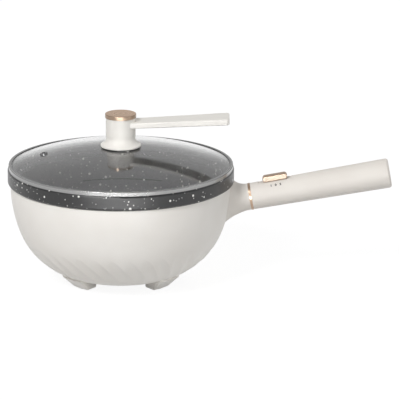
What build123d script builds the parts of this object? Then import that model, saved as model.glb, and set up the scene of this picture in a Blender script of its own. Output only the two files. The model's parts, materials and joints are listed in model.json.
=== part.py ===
from build123d import *
from math import asin, cos, degrees, radians, sin, sqrt, tan
import os

# Electric cooker: a round-bottomed pot in a bowl shaped housing, with a long handle and a lift-off glass lid.
# Millimetres. Pieces are drawn about the pot's axis, standing on the table at zero height, with +Z up and +X
# out along the long handle. They are then moved so that the origin lies on the table, under the middle.

# Housing: a bowl of two tangent arcs, open at the top
HOUSING_TOP_RADIUS = 141.6
HOUSING_TOP_HEIGHT = 129.5
HOUSING_BASE_RADIUS = 68.6
HOUSING_BASE_HEIGHT = 11.0
HOUSING_WALL = 3.0
SIDE_ARC_END = 20.9
LOWER_ARC_END = 73.7
FLANGE_THICKNESS = 4.0
FLANGE_LAP = 9.7

# Slanted flutes pressed round the lower housing
FLUTE_COUNT = 36
FLUTE_PASSES = 4
FLUTE_SLOPE_ANGLE = 43.0
FLUTE_SLANT = 22.0
FLUTE_DEPTH = 1.5
FLUTE_HALF_LENGTH = 30.0
FLUTE_HALF_WIDTH = 8.2

# Base cover, let into the underside of the flange
COVER_SETBACK = 11.9
COVER_THICKNESS = 2.0
COVER_SCREW_SETBACK = 4.7
COVER_VENT_COUNT = 16
COVER_VENT_LENGTH = 12.0
COVER_VENT_WIDTH = 3.0
COVER_VENT_SETBACK = 9.0

# Feet, in two pairs either side of the handle's line
FOOT_AZIMUTH = 41.0
FOOT_HALF_ANGLE = 13.0
FOOT_HEEL = 8.4
FOOT_TOE = 7.4
FOOT_LEDGE = 4.6
FOOT_TOP_HEIGHT = 15.5
FOOT_ROUNDING = 3.0
FOOT_SCREW_SETBACK = 6.6
PAD_RADIUS = 5.6
PAD_THICKNESS = 2.5
PAD_STANDS_OUT = 1.0

# Pot, hung from its rim on the housing's top edge
POT_GAP = 4.0
POT_WALL = 3.0
POT_BASE_HEIGHT = 37.0
POT_SIDE_ARC_END = 15.0
POT_FLOOR_MARGIN = 0.6
RIM_OVERHANG = 3.4
RIM_HEIGHT = 18.7
RIM_THICKNESS = 5.5
RIM_FLARE_HEIGHT = 6.0
RIM_LOWER_ROUNDING = 2.5
RIM_UPPER_ROUNDING = 2.2
RIM_INNER_ROUNDING = 0.8
GASKET_THICKNESS = 1.0
STUD_RADIUS = 5.0
STUD_SHOULDER_RADIUS = 6.6
POT_FLOOR_LINE_SETBACK = 2.6
POT_FLOOR_LINE_DEPTH = 0.5
POT_FLOOR_LINE_WIDTH = 1.6

# Heater under the pot
HEATER_PLATE_GAP = 1.4
HEATER_PLATE_THICKNESS = 5.0
HEATER_RING_SETBACK = 10.0
HEATER_TUBE_RADIUS = 4.0
HEATER_BEDDING = 3.0
HEATER_GAP_ANGLE = 34.0
HEATER_PIN_RADIUS = 1.4
HEATER_PIN_DROP = 10.0
SHIELD_HEIGHT = 24.0
SHIELD_THICKNESS = 1.0
SHIELD_MARGIN = 6.0
SHIELD_CENTRE_SETBACK = 14.0
THERMOSTAT_RADIUS = 9.0
THERMOSTAT_HEIGHT = 9.0
STRAP_LENGTH = 50.0
STRAP_WIDTH = 10.0
STRAP_THICKNESS = 1.0
FUSE_RADIUS = 2.2
FUSE_LENGTH = 14.0
FUSE_SETBACK = 12.0
BLOCK_LENGTH = 32.0
BLOCK_WIDTH = 14.0
BLOCK_HEIGHT = 8.0
BLOCK_SETBACK = 14.0

# Power inlet in a square-sided boss low on the back
INLET_HEIGHT = 33.0
INLET_STANDS_OUT = 14.1
INLET_BOSS_WIDTH = 60.0
INLET_BOSS_HEIGHT = 34.0
INLET_BOSS_ROUNDING = 5.0
INLET_FLANGE_WIDTH = 50.0
INLET_FLANGE_HEIGHT = 23.0
INLET_FLANGE_THICKNESS = 2.5
INLET_BODY_WIDTH = 27.6
INLET_BODY_HEIGHT = 20.4
INLET_BODY_DEPTH = 18.0
INLET_RECESS_WIDTH = 24.4
INLET_RECESS_HEIGHT = 17.2
INLET_RECESS_DEPTH = 16.5
INLET_RECESS_CHAMFER = 4.0
INLET_SCREW_SPACING = 40.0
INLET_PIN_SPACING = 14.0
INLET_PIN_OFFSET = 2.0
INLET_PIN_WIDTH = 2.0
INLET_PIN_HEIGHT = 4.0
INLET_PIN_LENGTH = 14.0
INLET_TAB_LENGTH = 8.0

# Long handle: neck, trim ring, grip and end cap on one tilted axis
HANDLE_TILT = 10.0
HANDLE_REACH = 24.8
HANDLE_DROP = 18.9
RING_WIDTH = 3.2
RING_PROUD = 0.35
RING_BORE = 11.5
NECK_HALF_HEIGHT = 17.2
NECK_HALF_WIDTH = 16.0
NECK_WALL = 3.0
NECK_END_WALL = 4.0
NECK_LEAN = 18.0
NECK_FLARE_DEPTHS = (0.32, 0.56, 0.79, 1.0, 1.2)
NECK_FLARES = (0.5, 2.4, 5.4, 9.8, 15.5)
NECK_SCREW_OFFSET = 12.0
NECK_RIB_THICKNESS = 2.4
NECK_SCREW_BOSS_LENGTH = 11.0
NECK_SCREW_BOSS_RADIUS = 3.6
GRIP_LENGTH = 172.3
GRIP_END_HALF_HEIGHT = 19.1
GRIP_END_HALF_WIDTH = 16.9
GRIP_WALL = 2.6
GRIP_END_WALL = 3.0
CAP_LENGTH = 7.0
CAP_ROUNDING = 3.5
CAP_SPIGOT_LENGTH = 8.0
HANDLE_BOLT_RADIUS = 3.0
HANDLE_BOLT_HEAD_RADIUS = 5.0
HANDLE_BOLT_HEAD_HEIGHT = 4.0
HANDLE_BOLT_GRIP = 16.0
HANDLE_BOSS_RADIUS = 6.0

# Slide switch in the top of the grip
SLIDER_ALONG = 34.7
SLIDER_LENGTH = 32.0
SLIDER_WIDTH = 12.4
SLIDER_STANDS_OUT = 6.0
SLIDER_TRAVEL = 6.0
SLIDER_EDGE_ROUNDING = 1.2
SLIDER_STEM_LENGTH = 10.0
SLIDER_STEM_WIDTH = 5.0
TRACK_DEPTH = 1.5
TRACK_FLOOR = 3.0
CARRIER_LENGTH = 20.0
CARRIER_WIDTH = 11.0
CARRIER_THICKNESS = 2.2
CARRIER_NUB_LENGTH = 4.0
CARRIER_NUB_WIDTH = 3.0
CARRIER_NUB_DEPTH = 4.0
SWITCH_LENGTH = 28.0
SWITCH_WIDTH = 12.0
SWITCH_HEIGHT = 7.0
SWITCH_EAR_LENGTH = 46.0
SWITCH_EAR_THICKNESS = 2.0
SWITCH_EAR_GAP = 0.6
SWITCH_SCREW_SPACING = 40.0
SWITCH_POST_RADIUS = 2.8

# Lid: domed glass in a rolled steel band
LID_SETBACK = 1.3
BAND_SHEET = 0.5
BAND_LIP = 3.9
BAND_SKIRT_DEPTH = 4.5
BAND_EDGE_ROUNDING = 0.7
GLASS_THICKNESS = 3.5
DOME_RADIUS = 426.0
VENT_CIRCLE = 99.0
VENT_AZIMUTH = 177.0
VENT_BORE_RADIUS = 2.4
VENT_COLLAR_RADIUS = 5.0
VENT_COLLAR_THICKNESS = 1.2

# Lid handle: a flared column with a flat arm that reaches out over the glass
COLUMN_HEIGHT = 37.5
COLUMN_RADIUS = 19.0
COLUMN_BASE_RADIUS = 25.9
COLUMN_LIP = 2.8
COLUMN_FLARE_HEIGHT = 12.0
COLUMN_WALL = 3.0
COLUMN_ROOF = 4.0
COLUMN_BOSS_RADIUS = 7.0
ARM_REACH = 139.0
ARM_ROOT_WIDTH = 28.5
ARM_TIP_WIDTH = 36.5
ARM_ROOT_THICKNESS = 7.2
ARM_TIP_THICKNESS = 8.1
ARM_DROP = 5.3
ARM_TILT = 3.0
ARM_CORNER_ROUNDING = 4.0
ARM_EDGE_ROUNDING = 1.4
DISC_RADIUS = 20.0
DISC_THICKNESS = 5.0
DISC_EDGE_ROUNDING = 1.0
DISC_SPIGOT_RADIUS = 14.0
DISC_SPIGOT_DEPTH = 2.0
LID_GASKET_THICKNESS = 0.8
LID_GASKET_RADIUS = 24.0
WASHER_RADIUS = 13.0
WASHER_THICKNESS = 1.5
LID_SCREW_RADIUS = 2.5
LID_SCREW_HEAD_RADIUS = 5.0
LID_SCREW_HEAD_HEIGHT = 3.0
LID_SCREW_LENGTH = 22.0
INSERT_RADIUS = 4.5
INSERT_LENGTH = 14.0

# Fasteners, leads and fits
SCREW_RADIUS = 1.9
SCREW_HEAD_RADIUS = 3.6
SCREW_HEAD_HEIGHT = 2.0
SCREW_LENGTH = 9.0
SCREW_BOSS_RADIUS = 4.2
POT_SCREW_LENGTH = 14.0
FOOT_SCREW_LENGTH = 13.0
FOOT_BOSS_HEIGHT = 8.0
LEAD_RADIUS = 1.2
CABLE_RADIUS = 1.5
CABLE_OFFSET = -8.6
CABLE_BEND = 5.0
LEAD_HEIGHT = 4.5
LEAD_SPREAD = 8.6
LEAD_BEND = 6.0
SHANK_CLEARANCE = 0.1
FIT_CLEARANCE = 0.3
SLIDE_CLEARANCE = 0.25
EPS = 0.01

# Places that follow from the sizes above
RIM_RADIUS = HOUSING_TOP_RADIUS + RIM_OVERHANG
RIM_BASE = HOUSING_TOP_HEIGHT + GASKET_THICKNESS
RIM_TOP = RIM_BASE + RIM_HEIGHT
RIM_INNER_RADIUS = RIM_RADIUS - RIM_THICKNESS
POT_TOP_RADIUS = HOUSING_TOP_RADIUS - HOUSING_WALL - POT_GAP
COVER_RADIUS = HOUSING_BASE_RADIUS - COVER_SETBACK
COVER_SCREW_CIRCLE = COVER_RADIUS - COVER_SCREW_SETBACK
FLANGE_INNER_RADIUS = COVER_RADIUS - FLANGE_LAP
COVER_VENT_CIRCLE = FLANGE_INNER_RADIUS - COVER_VENT_SETBACK
FOOT_SCREW_CIRCLE = HOUSING_BASE_RADIUS - FOOT_SCREW_SETBACK
STUD_CIRCLE = FOOT_SCREW_CIRCLE
POT_FLOOR_RADIUS = STUD_CIRCLE + POT_FLOOR_MARGIN
POT_FLOOR_LINE_RADIUS = POT_FLOOR_RADIUS - POT_FLOOR_LINE_SETBACK
HEATER_PLATE_RADIUS = STUD_CIRCLE - STUD_SHOULDER_RADIUS - HEATER_PLATE_GAP
HEATER_RING_RADIUS = HEATER_PLATE_RADIUS - HEATER_RING_SETBACK
SHIELD_RADIUS = STUD_CIRCLE + SHIELD_MARGIN
SHIELD_CENTRE_RADIUS = HEATER_RING_RADIUS - SHIELD_CENTRE_SETBACK
FUSE_CIRCLE = HEATER_RING_RADIUS - FUSE_SETBACK
BLOCK_OFFSET = HEATER_RING_RADIUS - BLOCK_SETBACK
FLANGE_TOP = HOUSING_BASE_HEIGHT + FLANGE_THICKNESS
COVER_TOP = HOUSING_BASE_HEIGHT + COVER_THICKNESS
PLATE_BASE = POT_BASE_HEIGHT - HEATER_PLATE_THICKNESS
HEATER_HEIGHT = PLATE_BASE + HEATER_BEDDING - HEATER_TUBE_RADIUS
SHIELD_TOP = SHIELD_HEIGHT + SHIELD_THICKNESS
BAND_RADIUS = RIM_RADIUS - LID_SETBACK
BAND_HEIGHT = GLASS_THICKNESS + 2 * (BAND_SHEET + FIT_CLEARANCE)
BAND_TOP = RIM_TOP + BAND_HEIGHT
GLASS_EDGE_TOP = BAND_TOP - BAND_SHEET - FIT_CLEARANCE / 2
GLASS_RADIUS = BAND_RADIUS - BAND_SHEET - FIT_CLEARANCE
DOME_START = BAND_RADIUS - BAND_LIP - FIT_CLEARANCE
DOME_CENTRE = GLASS_EDGE_TOP - sqrt(DOME_RADIUS**2 - DOME_START**2)
DOME_APEX = DOME_CENTRE + DOME_RADIUS
COLUMN_BASE = DOME_APEX + LID_GASKET_THICKNESS
COLUMN_TOP = COLUMN_BASE + COLUMN_HEIGHT
HANDLE_X = HOUSING_TOP_RADIUS + HANDLE_REACH
HANDLE_Z = HOUSING_TOP_HEIGHT - HANDLE_DROP
NECK_DEPTH = HANDLE_REACH + 2.2
GRIP_START = RING_WIDTH / 2
GRIP_END = GRIP_START + GRIP_LENGTH
HANDLE_TIP_X = (
    HANDLE_X
    + (GRIP_END + CAP_LENGTH) * cos(radians(HANDLE_TILT))
    + (GRIP_END_HALF_HEIGHT - CAP_ROUNDING) * sin(radians(HANDLE_TILT))
)
MIDDLE_X = (HANDLE_TIP_X - RIM_RADIUS) / 2
FOOT_AZIMUTHS = {
    "rear_right": FOOT_AZIMUTH,
    "rear_left": 180 - FOOT_AZIMUTH,
    "front_left": 180 + FOOT_AZIMUTH,
    "front_right": 360 - FOOT_AZIMUTH,
}
QUARTERS = (0, 90, 180, 270)


# Shared shapes
def turned(edges):
    """A solid of revolution about Z from a closed outline drawn in radius and height."""
    return revolve(make_face(Plane.XZ * Curve(edges)), Axis.Z)


def turned_polygon(*points):
    """A solid of revolution about Z from straight-sided points in radius and height."""
    return revolve(make_face(Plane.XZ * Polyline(*points, close=True)), Axis.Z)


def rod(radius, low, high):
    """An upright round bar between two heights."""
    return Pos(0, 0, low) * Cylinder(radius, high - low, align=(Align.CENTER, Align.CENTER, Align.MIN))


def block(size_x, size_y, low, high):
    """An upright rectangular bar between two heights."""
    return Pos(0, 0, low) * Box(size_x, size_y, high - low, align=(Align.CENTER, Align.CENTER, Align.MIN))


def around(radius, azimuth):
    """A place on a circle about Z, turned to face outwards."""
    return Rot(0, 0, azimuth) * Pos(radius, 0, 0)


def screw(radius, length, head_radius, head_height):
    """A pan head screw that points up, with the underside of its head at zero."""
    head = rod(head_radius, -head_height, 0)
    head = fillet(head.edges().group_by(Axis.Z)[0], head_height * 0.35)
    return head + rod(radius, 0, length)


def polar(centre, radius, angle):
    """A point of an arc, its angle measured down from the level."""
    return (centre[0] + radius * cos(radians(angle)), centre[1] - radius * sin(radians(angle)))


def arc(centre, radius, start, end):
    """A circular edge between two angles below the level."""
    middle = (start + end) / 2
    return ThreePointArc(*(polar(centre, radius, a) for a in (start, middle, end)))


def dome_height(radius, offset=0.0):
    """Height of the lid's dome at a radius, offset outwards from the outer face of the glass."""
    return DOME_CENTRE + sqrt((DOME_RADIUS + offset) ** 2 - radius**2)


def dome_edge(start, end, offset=0.0):
    """The dome's outline between two radii, offset outwards from the outer face of the glass."""
    radii = (start, (start + end) / 2, end)
    return ThreePointArc(*((r, dome_height(r, offset)) for r in radii))


# Bowl outlines
def tangent_arcs(top, base, upper_end, lower_end):
    """Radii of two tangent arcs: one leaves the top point upright, the other runs on to the base point.

    The ends are the angles below the level at which each arc stops."""
    upper = radians(upper_end)
    lower = radians(lower_end)
    run, fall = top[0] - base[0], top[1] - base[1]
    upper_run, lower_run = 1 - cos(upper), cos(upper) - cos(lower)
    upper_fall, lower_fall = sin(upper), sin(lower) - sin(upper)
    scale = upper_run * lower_fall - lower_run * upper_fall
    return (run * lower_fall - fall * lower_run) / scale, (fall * upper_run - run * upper_fall) / scale


SIDE_ARC_RADIUS, LOWER_ARC_RADIUS = tangent_arcs(
    (HOUSING_TOP_RADIUS, HOUSING_TOP_HEIGHT),
    (HOUSING_BASE_RADIUS, HOUSING_BASE_HEIGHT),
    SIDE_ARC_END,
    LOWER_ARC_END,
)
SIDE_CENTRE = (HOUSING_TOP_RADIUS - SIDE_ARC_RADIUS, HOUSING_TOP_HEIGHT)
LOWER_CENTRE = polar(SIDE_CENTRE, SIDE_ARC_RADIUS - LOWER_ARC_RADIUS, SIDE_ARC_END)
POT_SIDE_ARC_RADIUS, POT_CORNER_RADIUS = tangent_arcs(
    (POT_TOP_RADIUS, HOUSING_TOP_HEIGHT), (POT_FLOOR_RADIUS, POT_BASE_HEIGHT), POT_SIDE_ARC_END, 90
)
POT_SIDE_CENTRE = (POT_TOP_RADIUS - POT_SIDE_ARC_RADIUS, HOUSING_TOP_HEIGHT)
POT_CORNER_CENTRE = polar(POT_SIDE_CENTRE, POT_SIDE_ARC_RADIUS - POT_CORNER_RADIUS, POT_SIDE_ARC_END)


def housing_end_angle(height, inset=0.0):
    """Angle below the level at which the housing's lower arc reaches a height."""
    return degrees(asin((LOWER_CENTRE[1] - height) / (LOWER_ARC_RADIUS - inset)))


def housing_radius(height, inset=0.0):
    """The housing's radius at a height, moved inwards by inset."""
    side_end = polar(SIDE_CENTRE, SIDE_ARC_RADIUS - inset, SIDE_ARC_END)[1]
    if height >= side_end:
        centre, radius = SIDE_CENTRE, SIDE_ARC_RADIUS - inset
    else:
        centre, radius = LOWER_CENTRE, LOWER_ARC_RADIUS - inset
    return centre[0] + sqrt(radius**2 - (height - centre[1]) ** 2)


def pot_radius(height):
    """The pot's outer radius at a height below its rim."""
    side_end = polar(POT_SIDE_CENTRE, POT_SIDE_ARC_RADIUS, POT_SIDE_ARC_END)[1]
    if height >= side_end:
        centre, radius = POT_SIDE_CENTRE, POT_SIDE_ARC_RADIUS
    else:
        centre, radius = POT_CORNER_CENTRE, POT_CORNER_RADIUS
    return centre[0] + sqrt(radius**2 - (height - centre[1]) ** 2)


def bowl_solid(base, inset=0.0):
    """The housing's full round form down to a base height, moved inwards by inset."""
    end = housing_end_angle(base, inset)
    foot = polar(LOWER_CENTRE, LOWER_ARC_RADIUS - inset, end)
    top = (HOUSING_TOP_RADIUS - inset, HOUSING_TOP_HEIGHT)
    return turned([
        arc(SIDE_CENTRE, SIDE_ARC_RADIUS - inset, 0, SIDE_ARC_END),
        arc(LOWER_CENTRE, LOWER_ARC_RADIUS - inset, SIDE_ARC_END, end),
        Polyline(foot, (0, foot[1]), (0, top[1]), top),
    ])


FOOT_INNER_RADIUS = FOOT_SCREW_CIRCLE - FOOT_HEEL
FOOT_TOE_RADIUS = FOOT_SCREW_CIRCLE + FOOT_TOE
FOOT_TOP_RADIUS = housing_radius(FOOT_TOP_HEIGHT) + FOOT_LEDGE
INLET_FACE = housing_radius(INLET_HEIGHT) + INLET_STANDS_OUT


# Housing and what closes it underneath
def flute_cutter():
    """One bent bar that presses a flute: it bites in at its middle and runs out at both ends."""
    slope = radians(FLUTE_SLOPE_ANGLE)
    slant = radians(FLUTE_SLANT)
    touch = polar(LOWER_CENTRE, LOWER_ARC_RADIUS, FLUTE_SLOPE_ANGLE)
    round_radius = touch[0] / cos(slope)
    along = cos(slant) ** 2 / LOWER_ARC_RADIUS + sin(slant) ** 2 / round_radius
    across = sin(slant) ** 2 / LOWER_ARC_RADIUS + cos(slant) ** 2 / round_radius
    path_radius = 1 / (along - 2 * FLUTE_DEPTH / FLUTE_HALF_LENGTH**2)
    bar_radius = 1 / (2 * FLUTE_DEPTH / FLUTE_HALF_WIDTH**2 - across)
    outward = Vector(cos(slope), 0, -sin(slope))
    down = Vector(-sin(slope), 0, -cos(slope)) * cos(slant) + Vector(0, 1, 0) * sin(slant)
    centre = Vector(touch[0], 0, touch[1]) - outward * (path_radius + FLUTE_DEPTH)
    ring_radius = path_radius + bar_radius
    half_angle = degrees(FLUTE_HALF_LENGTH / path_radius) * 1.3
    hub = Axis(centre, outward.cross(down))
    section = Plane(centre + outward * ring_radius, x_dir=outward, z_dir=down) * Circle(bar_radius)
    return revolve(section.rotate(hub, -half_angle), hub, 2 * half_angle)


def inlet_block(width, height, near, far):
    """A level bar along Y for the inlet, between two distances from the pot's axis."""
    bar = Box(width, far - near, height, align=(Align.CENTER, Align.MIN, Align.CENTER))
    return Pos(0, near, INLET_HEIGHT) * bar


def make_outer_housing():
    outer_boss = inlet_block(INLET_BOSS_WIDTH, INLET_BOSS_HEIGHT, FLANGE_INNER_RADIUS, INLET_FACE)
    outer_boss = fillet(outer_boss.edges().filter_by(Axis.Y), INLET_BOSS_ROUNDING)
    inner_width = INLET_BOSS_WIDTH - 2 * HOUSING_WALL
    inner_height = INLET_BOSS_HEIGHT - 2 * HOUSING_WALL
    inner_boss = inlet_block(inner_width, inner_height, FLANGE_INNER_RADIUS, INLET_FACE - HOUSING_WALL)
    body = bowl_solid(HOUSING_BASE_HEIGHT)
    cutter = flute_cutter()
    for first in range(FLUTE_PASSES):
        body -= [Rot(0, 0, i * 360 / FLUTE_COUNT) * cutter for i in range(first, FLUTE_COUNT, FLUTE_PASSES)]
    body += outer_boss
    body -= bowl_solid(FLANGE_TOP, HOUSING_WALL)
    body -= inner_boss
    body -= rod(FLANGE_INNER_RADIUS, 0, HOUSING_TOP_HEIGHT)
    body -= rod(COVER_RADIUS + FIT_CLEARANCE, 0, COVER_TOP)
    cover_boss = rod(SCREW_BOSS_RADIUS, COVER_TOP, SHIELD_HEIGHT)
    bosses = [around(COVER_SCREW_CIRCLE, a) * cover_boss for a in QUARTERS]
    foot_boss = rod(SCREW_BOSS_RADIUS, HOUSING_BASE_HEIGHT, FLANGE_TOP + FOOT_BOSS_HEIGHT)
    bosses += [around(FOOT_SCREW_CIRCLE, a) * foot_boss for a in FOOT_AZIMUTHS.values()]
    body += bosses
    pilot = SCREW_RADIUS + SHANK_CLEARANCE
    holes = [around(COVER_SCREW_CIRCLE, a) * rod(pilot, 0, COVER_TOP + SCREW_LENGTH) for a in QUARTERS]
    foot_pilot = rod(pilot, 0, PAD_THICKNESS + SCREW_HEAD_HEIGHT + FOOT_SCREW_LENGTH + FIT_CLEARANCE)
    holes += [around(FOOT_SCREW_CIRCLE, a) * foot_pilot for a in FOOT_AZIMUTHS.values()]
    pot_hole = rod(pilot, 0, FLANGE_TOP)
    pot_hole += rod(SCREW_HEAD_RADIUS + FIT_CLEARANCE, 0, HOUSING_BASE_HEIGHT + SCREW_HEAD_HEIGHT)
    holes += [around(STUD_CIRCLE, a) * pot_hole for a in QUARTERS]
    face_wall = (INLET_FACE - HOUSING_WALL - EPS, INLET_FACE + EPS)
    opening = INLET_BODY_WIDTH + 2 * FIT_CLEARANCE, INLET_BODY_HEIGHT + 2 * FIT_CLEARANCE
    holes.append(inlet_block(*opening, *face_wall))
    holes += [inlet_screw_place(side) * rod(pilot, -HOUSING_WALL - 1, 1) for side in (-1, 1)]
    holes += [neck_screw_place(side) * rod(pilot, -1, 3 * HOUSING_WALL) for side in (-1, 1)]
    holes.append(to_handle * Pos(-HANDLE_REACH, CABLE_OFFSET, 0) * level_rod(4 * CABLE_RADIUS, -20, 10))
    return body - holes


def make_base_cover():
    cover = rod(COVER_RADIUS, HOUSING_BASE_HEIGHT, COVER_TOP)
    pilot = rod(SCREW_RADIUS + SHANK_CLEARANCE, 0, COVER_TOP + 1)
    slot = extrude(SlotOverall(COVER_VENT_LENGTH, COVER_VENT_WIDTH), COVER_TOP + 1)
    vents = [around(COVER_VENT_CIRCLE, i * 360 / COVER_VENT_COUNT) * slot for i in range(COVER_VENT_COUNT)]
    return cover - [around(COVER_SCREW_CIRCLE, a) * pilot for a in QUARTERS] - vents


def make_foot(azimuth):
    """A shoe that wraps the turn of the bowl, cut to sit flush on it."""
    profile = make_face(Plane.XZ * Polyline(
        (FOOT_INNER_RADIUS, PAD_STANDS_OUT),
        (FOOT_TOE_RADIUS, PAD_STANDS_OUT),
        (FOOT_TOP_RADIUS, FOOT_TOP_HEIGHT),
        (FOOT_TOP_RADIUS - (FOOT_TOP_RADIUS - FOOT_TOE_RADIUS) / 2, FOOT_TOP_HEIGHT + HOUSING_BASE_HEIGHT),
        (FOOT_INNER_RADIUS, FOOT_TOP_HEIGHT + HOUSING_BASE_HEIGHT),
        close=True,
    ))
    shoe = Rot(0, 0, -FOOT_HALF_ANGLE) * revolve(profile, Axis.Z, 2 * FOOT_HALF_ANGLE)
    outside = [e for e in shoe.edges() if e.center().Z < FOOT_TOP_HEIGHT - EPS]
    inside = [e for e in outside if Vector(e.center().X, e.center().Y).length < FOOT_INNER_RADIUS + EPS]
    shoe = fillet([e for e in outside if e not in inside], FOOT_ROUNDING)
    shoe -= bowl_solid(HOUSING_BASE_HEIGHT)
    recess = rod(PAD_RADIUS + FIT_CLEARANCE, 0, PAD_THICKNESS)
    head = rod(SCREW_HEAD_RADIUS + FIT_CLEARANCE, 0, PAD_THICKNESS + SCREW_HEAD_HEIGHT)
    shank = rod(SCREW_RADIUS + SHANK_CLEARANCE, 0, HOUSING_TOP_HEIGHT)
    shoe -= Pos(FOOT_SCREW_CIRCLE, 0, 0) * (recess + head + shank)
    return Rot(0, 0, azimuth) * shoe


def make_foot_pads():
    pad = rod(PAD_RADIUS, 0, PAD_THICKNESS)
    pad = chamfer(pad.edges().group_by(Axis.Z)[0], PAD_STANDS_OUT / 2)
    return [around(FOOT_SCREW_CIRCLE, a) * pad for a in FOOT_AZIMUTHS.values()]


def make_foot_screws():
    fastener = screw(SCREW_RADIUS, FOOT_SCREW_LENGTH, SCREW_HEAD_RADIUS, SCREW_HEAD_HEIGHT)
    seat = Pos(0, 0, PAD_THICKNESS + SCREW_HEAD_HEIGHT)
    return [around(FOOT_SCREW_CIRCLE, a) * seat * fastener for a in FOOT_AZIMUTHS.values()]


def make_cover_screws():
    fastener = screw(SCREW_RADIUS, SCREW_LENGTH, SCREW_HEAD_RADIUS, SCREW_HEAD_HEIGHT)
    return [around(COVER_SCREW_CIRCLE, a) * Pos(0, 0, HOUSING_BASE_HEIGHT) * fastener for a in QUARTERS]


# Pot and heater
def pot_inner_outline():
    """The cooking surface from the middle of the floor to the top of the rim."""
    inner_radius = POT_CORNER_RADIUS - POT_WALL
    flare_base = HOUSING_TOP_HEIGHT + GASKET_THICKNESS
    wall_top = (POT_TOP_RADIUS - POT_WALL, flare_base)
    return [
        Line((0, POT_BASE_HEIGHT + POT_WALL), (POT_CORNER_CENTRE[0], POT_BASE_HEIGHT + POT_WALL)),
        arc(POT_CORNER_CENTRE, inner_radius, 90, POT_SIDE_ARC_END),
        arc(POT_SIDE_CENTRE, POT_SIDE_ARC_RADIUS - POT_WALL, POT_SIDE_ARC_END, 0),
        Polyline(
            (POT_TOP_RADIUS - POT_WALL, HOUSING_TOP_HEIGHT),
            wall_top,
            (RIM_INNER_RADIUS, flare_base + RIM_FLARE_HEIGHT),
            (RIM_INNER_RADIUS, RIM_TOP),
        ),
    ]


def make_inner_pot():
    outside = [
        Polyline((RIM_INNER_RADIUS, RIM_TOP), (RIM_RADIUS, RIM_TOP), (RIM_RADIUS, RIM_BASE),
                 (POT_TOP_RADIUS, RIM_BASE), (POT_TOP_RADIUS, HOUSING_TOP_HEIGHT)),
        arc(POT_SIDE_CENTRE, POT_SIDE_ARC_RADIUS, 0, POT_SIDE_ARC_END),
        arc(POT_CORNER_CENTRE, POT_CORNER_RADIUS, POT_SIDE_ARC_END, 90),
        Polyline((POT_CORNER_CENTRE[0], POT_BASE_HEIGHT), (0, POT_BASE_HEIGHT),
                 (0, POT_BASE_HEIGHT + POT_WALL)),
    ]
    pot = turned(pot_inner_outline() + outside)
    circles = pot.edges().filter_by(GeomType.CIRCLE)
    lower = [e for e in circles if abs(e.radius - RIM_RADIUS) < EPS and abs(e.center().Z - RIM_BASE) < EPS]
    pot = fillet(lower, RIM_LOWER_ROUNDING)
    for radius, rounding in ((RIM_RADIUS, RIM_UPPER_ROUNDING), (RIM_INNER_RADIUS, RIM_INNER_ROUNDING)):
        circles = pot.edges().filter_by(GeomType.CIRCLE)
        upper = [e for e in circles if abs(e.radius - radius) < EPS and abs(e.center().Z - RIM_TOP) < EPS]
        pot = fillet(upper, rounding)
    line_floor = POT_BASE_HEIGHT + POT_WALL - POT_FLOOR_LINE_DEPTH
    line = rod(POT_FLOOR_LINE_RADIUS, line_floor, RIM_TOP)
    return pot - (line - rod(POT_FLOOR_LINE_RADIUS - POT_FLOOR_LINE_WIDTH, 0, RIM_TOP + 1))


def make_pot_studs():
    """Stepped posts under the pot: the shield hangs on their shoulders and their feet stand on the flange."""
    stud = rod(STUD_SHOULDER_RADIUS, SHIELD_TOP, POT_BASE_HEIGHT) + rod(STUD_RADIUS, FLANGE_TOP, SHIELD_TOP)
    stud -= rod(SCREW_RADIUS + SHANK_CLEARANCE, 0, FLANGE_TOP + POT_SCREW_LENGTH)
    return [around(STUD_CIRCLE, a) * stud for a in QUARTERS]


def make_pot_gasket():
    inner = POT_TOP_RADIUS + FIT_CLEARANCE
    outer = HOUSING_TOP_RADIUS - FIT_CLEARANCE
    return rod(outer, HOUSING_TOP_HEIGHT, RIM_BASE) - rod(inner, 0, RIM_BASE + 1)


def make_pot_screws():
    fastener = screw(SCREW_RADIUS, POT_SCREW_LENGTH, SCREW_HEAD_RADIUS, SCREW_HEAD_HEIGHT)
    seat = Pos(0, 0, HOUSING_BASE_HEIGHT + SCREW_HEAD_HEIGHT)
    return [around(STUD_CIRCLE, a) * seat * fastener for a in QUARTERS]


def heater_ends():
    """Azimuths of the two ends of the heating tube, either side of the front."""
    return 270 - HEATER_GAP_ANGLE / 2, 270 + HEATER_GAP_ANGLE / 2


def make_heater_plate():
    plate = rod(HEATER_PLATE_RADIUS, PLATE_BASE, POT_BASE_HEIGHT)
    groove = Pos(0, 0, HEATER_HEIGHT) * Torus(HEATER_RING_RADIUS, HEATER_TUBE_RADIUS + SHANK_CLEARANCE)
    strap_hole = rod(SCREW_RADIUS + SHANK_CLEARANCE, 0, PLATE_BASE + HEATER_PLATE_THICKNESS / 2)
    places = [Pos(side * (STRAP_LENGTH / 2 - SCREW_HEAD_RADIUS), 0, 0) for side in (-1, 1)]
    return plate - groove - [place * strap_hole for place in places]


def make_heating_element():
    start, end = heater_ends()
    section = Plane.XZ * Pos(HEATER_RING_RADIUS, HEATER_HEIGHT) * Circle(HEATER_TUBE_RADIUS)
    tube = Rot(0, 0, end) * revolve(section, Axis.Z, 360 - HEATER_GAP_ANGLE)
    pin_foot = HEATER_HEIGHT - HEATER_PIN_DROP
    elbow = Pos(0, 0, HEATER_HEIGHT) * Sphere(HEATER_TUBE_RADIUS)
    pin = rod(HEATER_PIN_RADIUS, pin_foot, HEATER_HEIGHT)
    return tube + [around(HEATER_RING_RADIUS, a) * (elbow + pin) for a in (start, end)]


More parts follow.
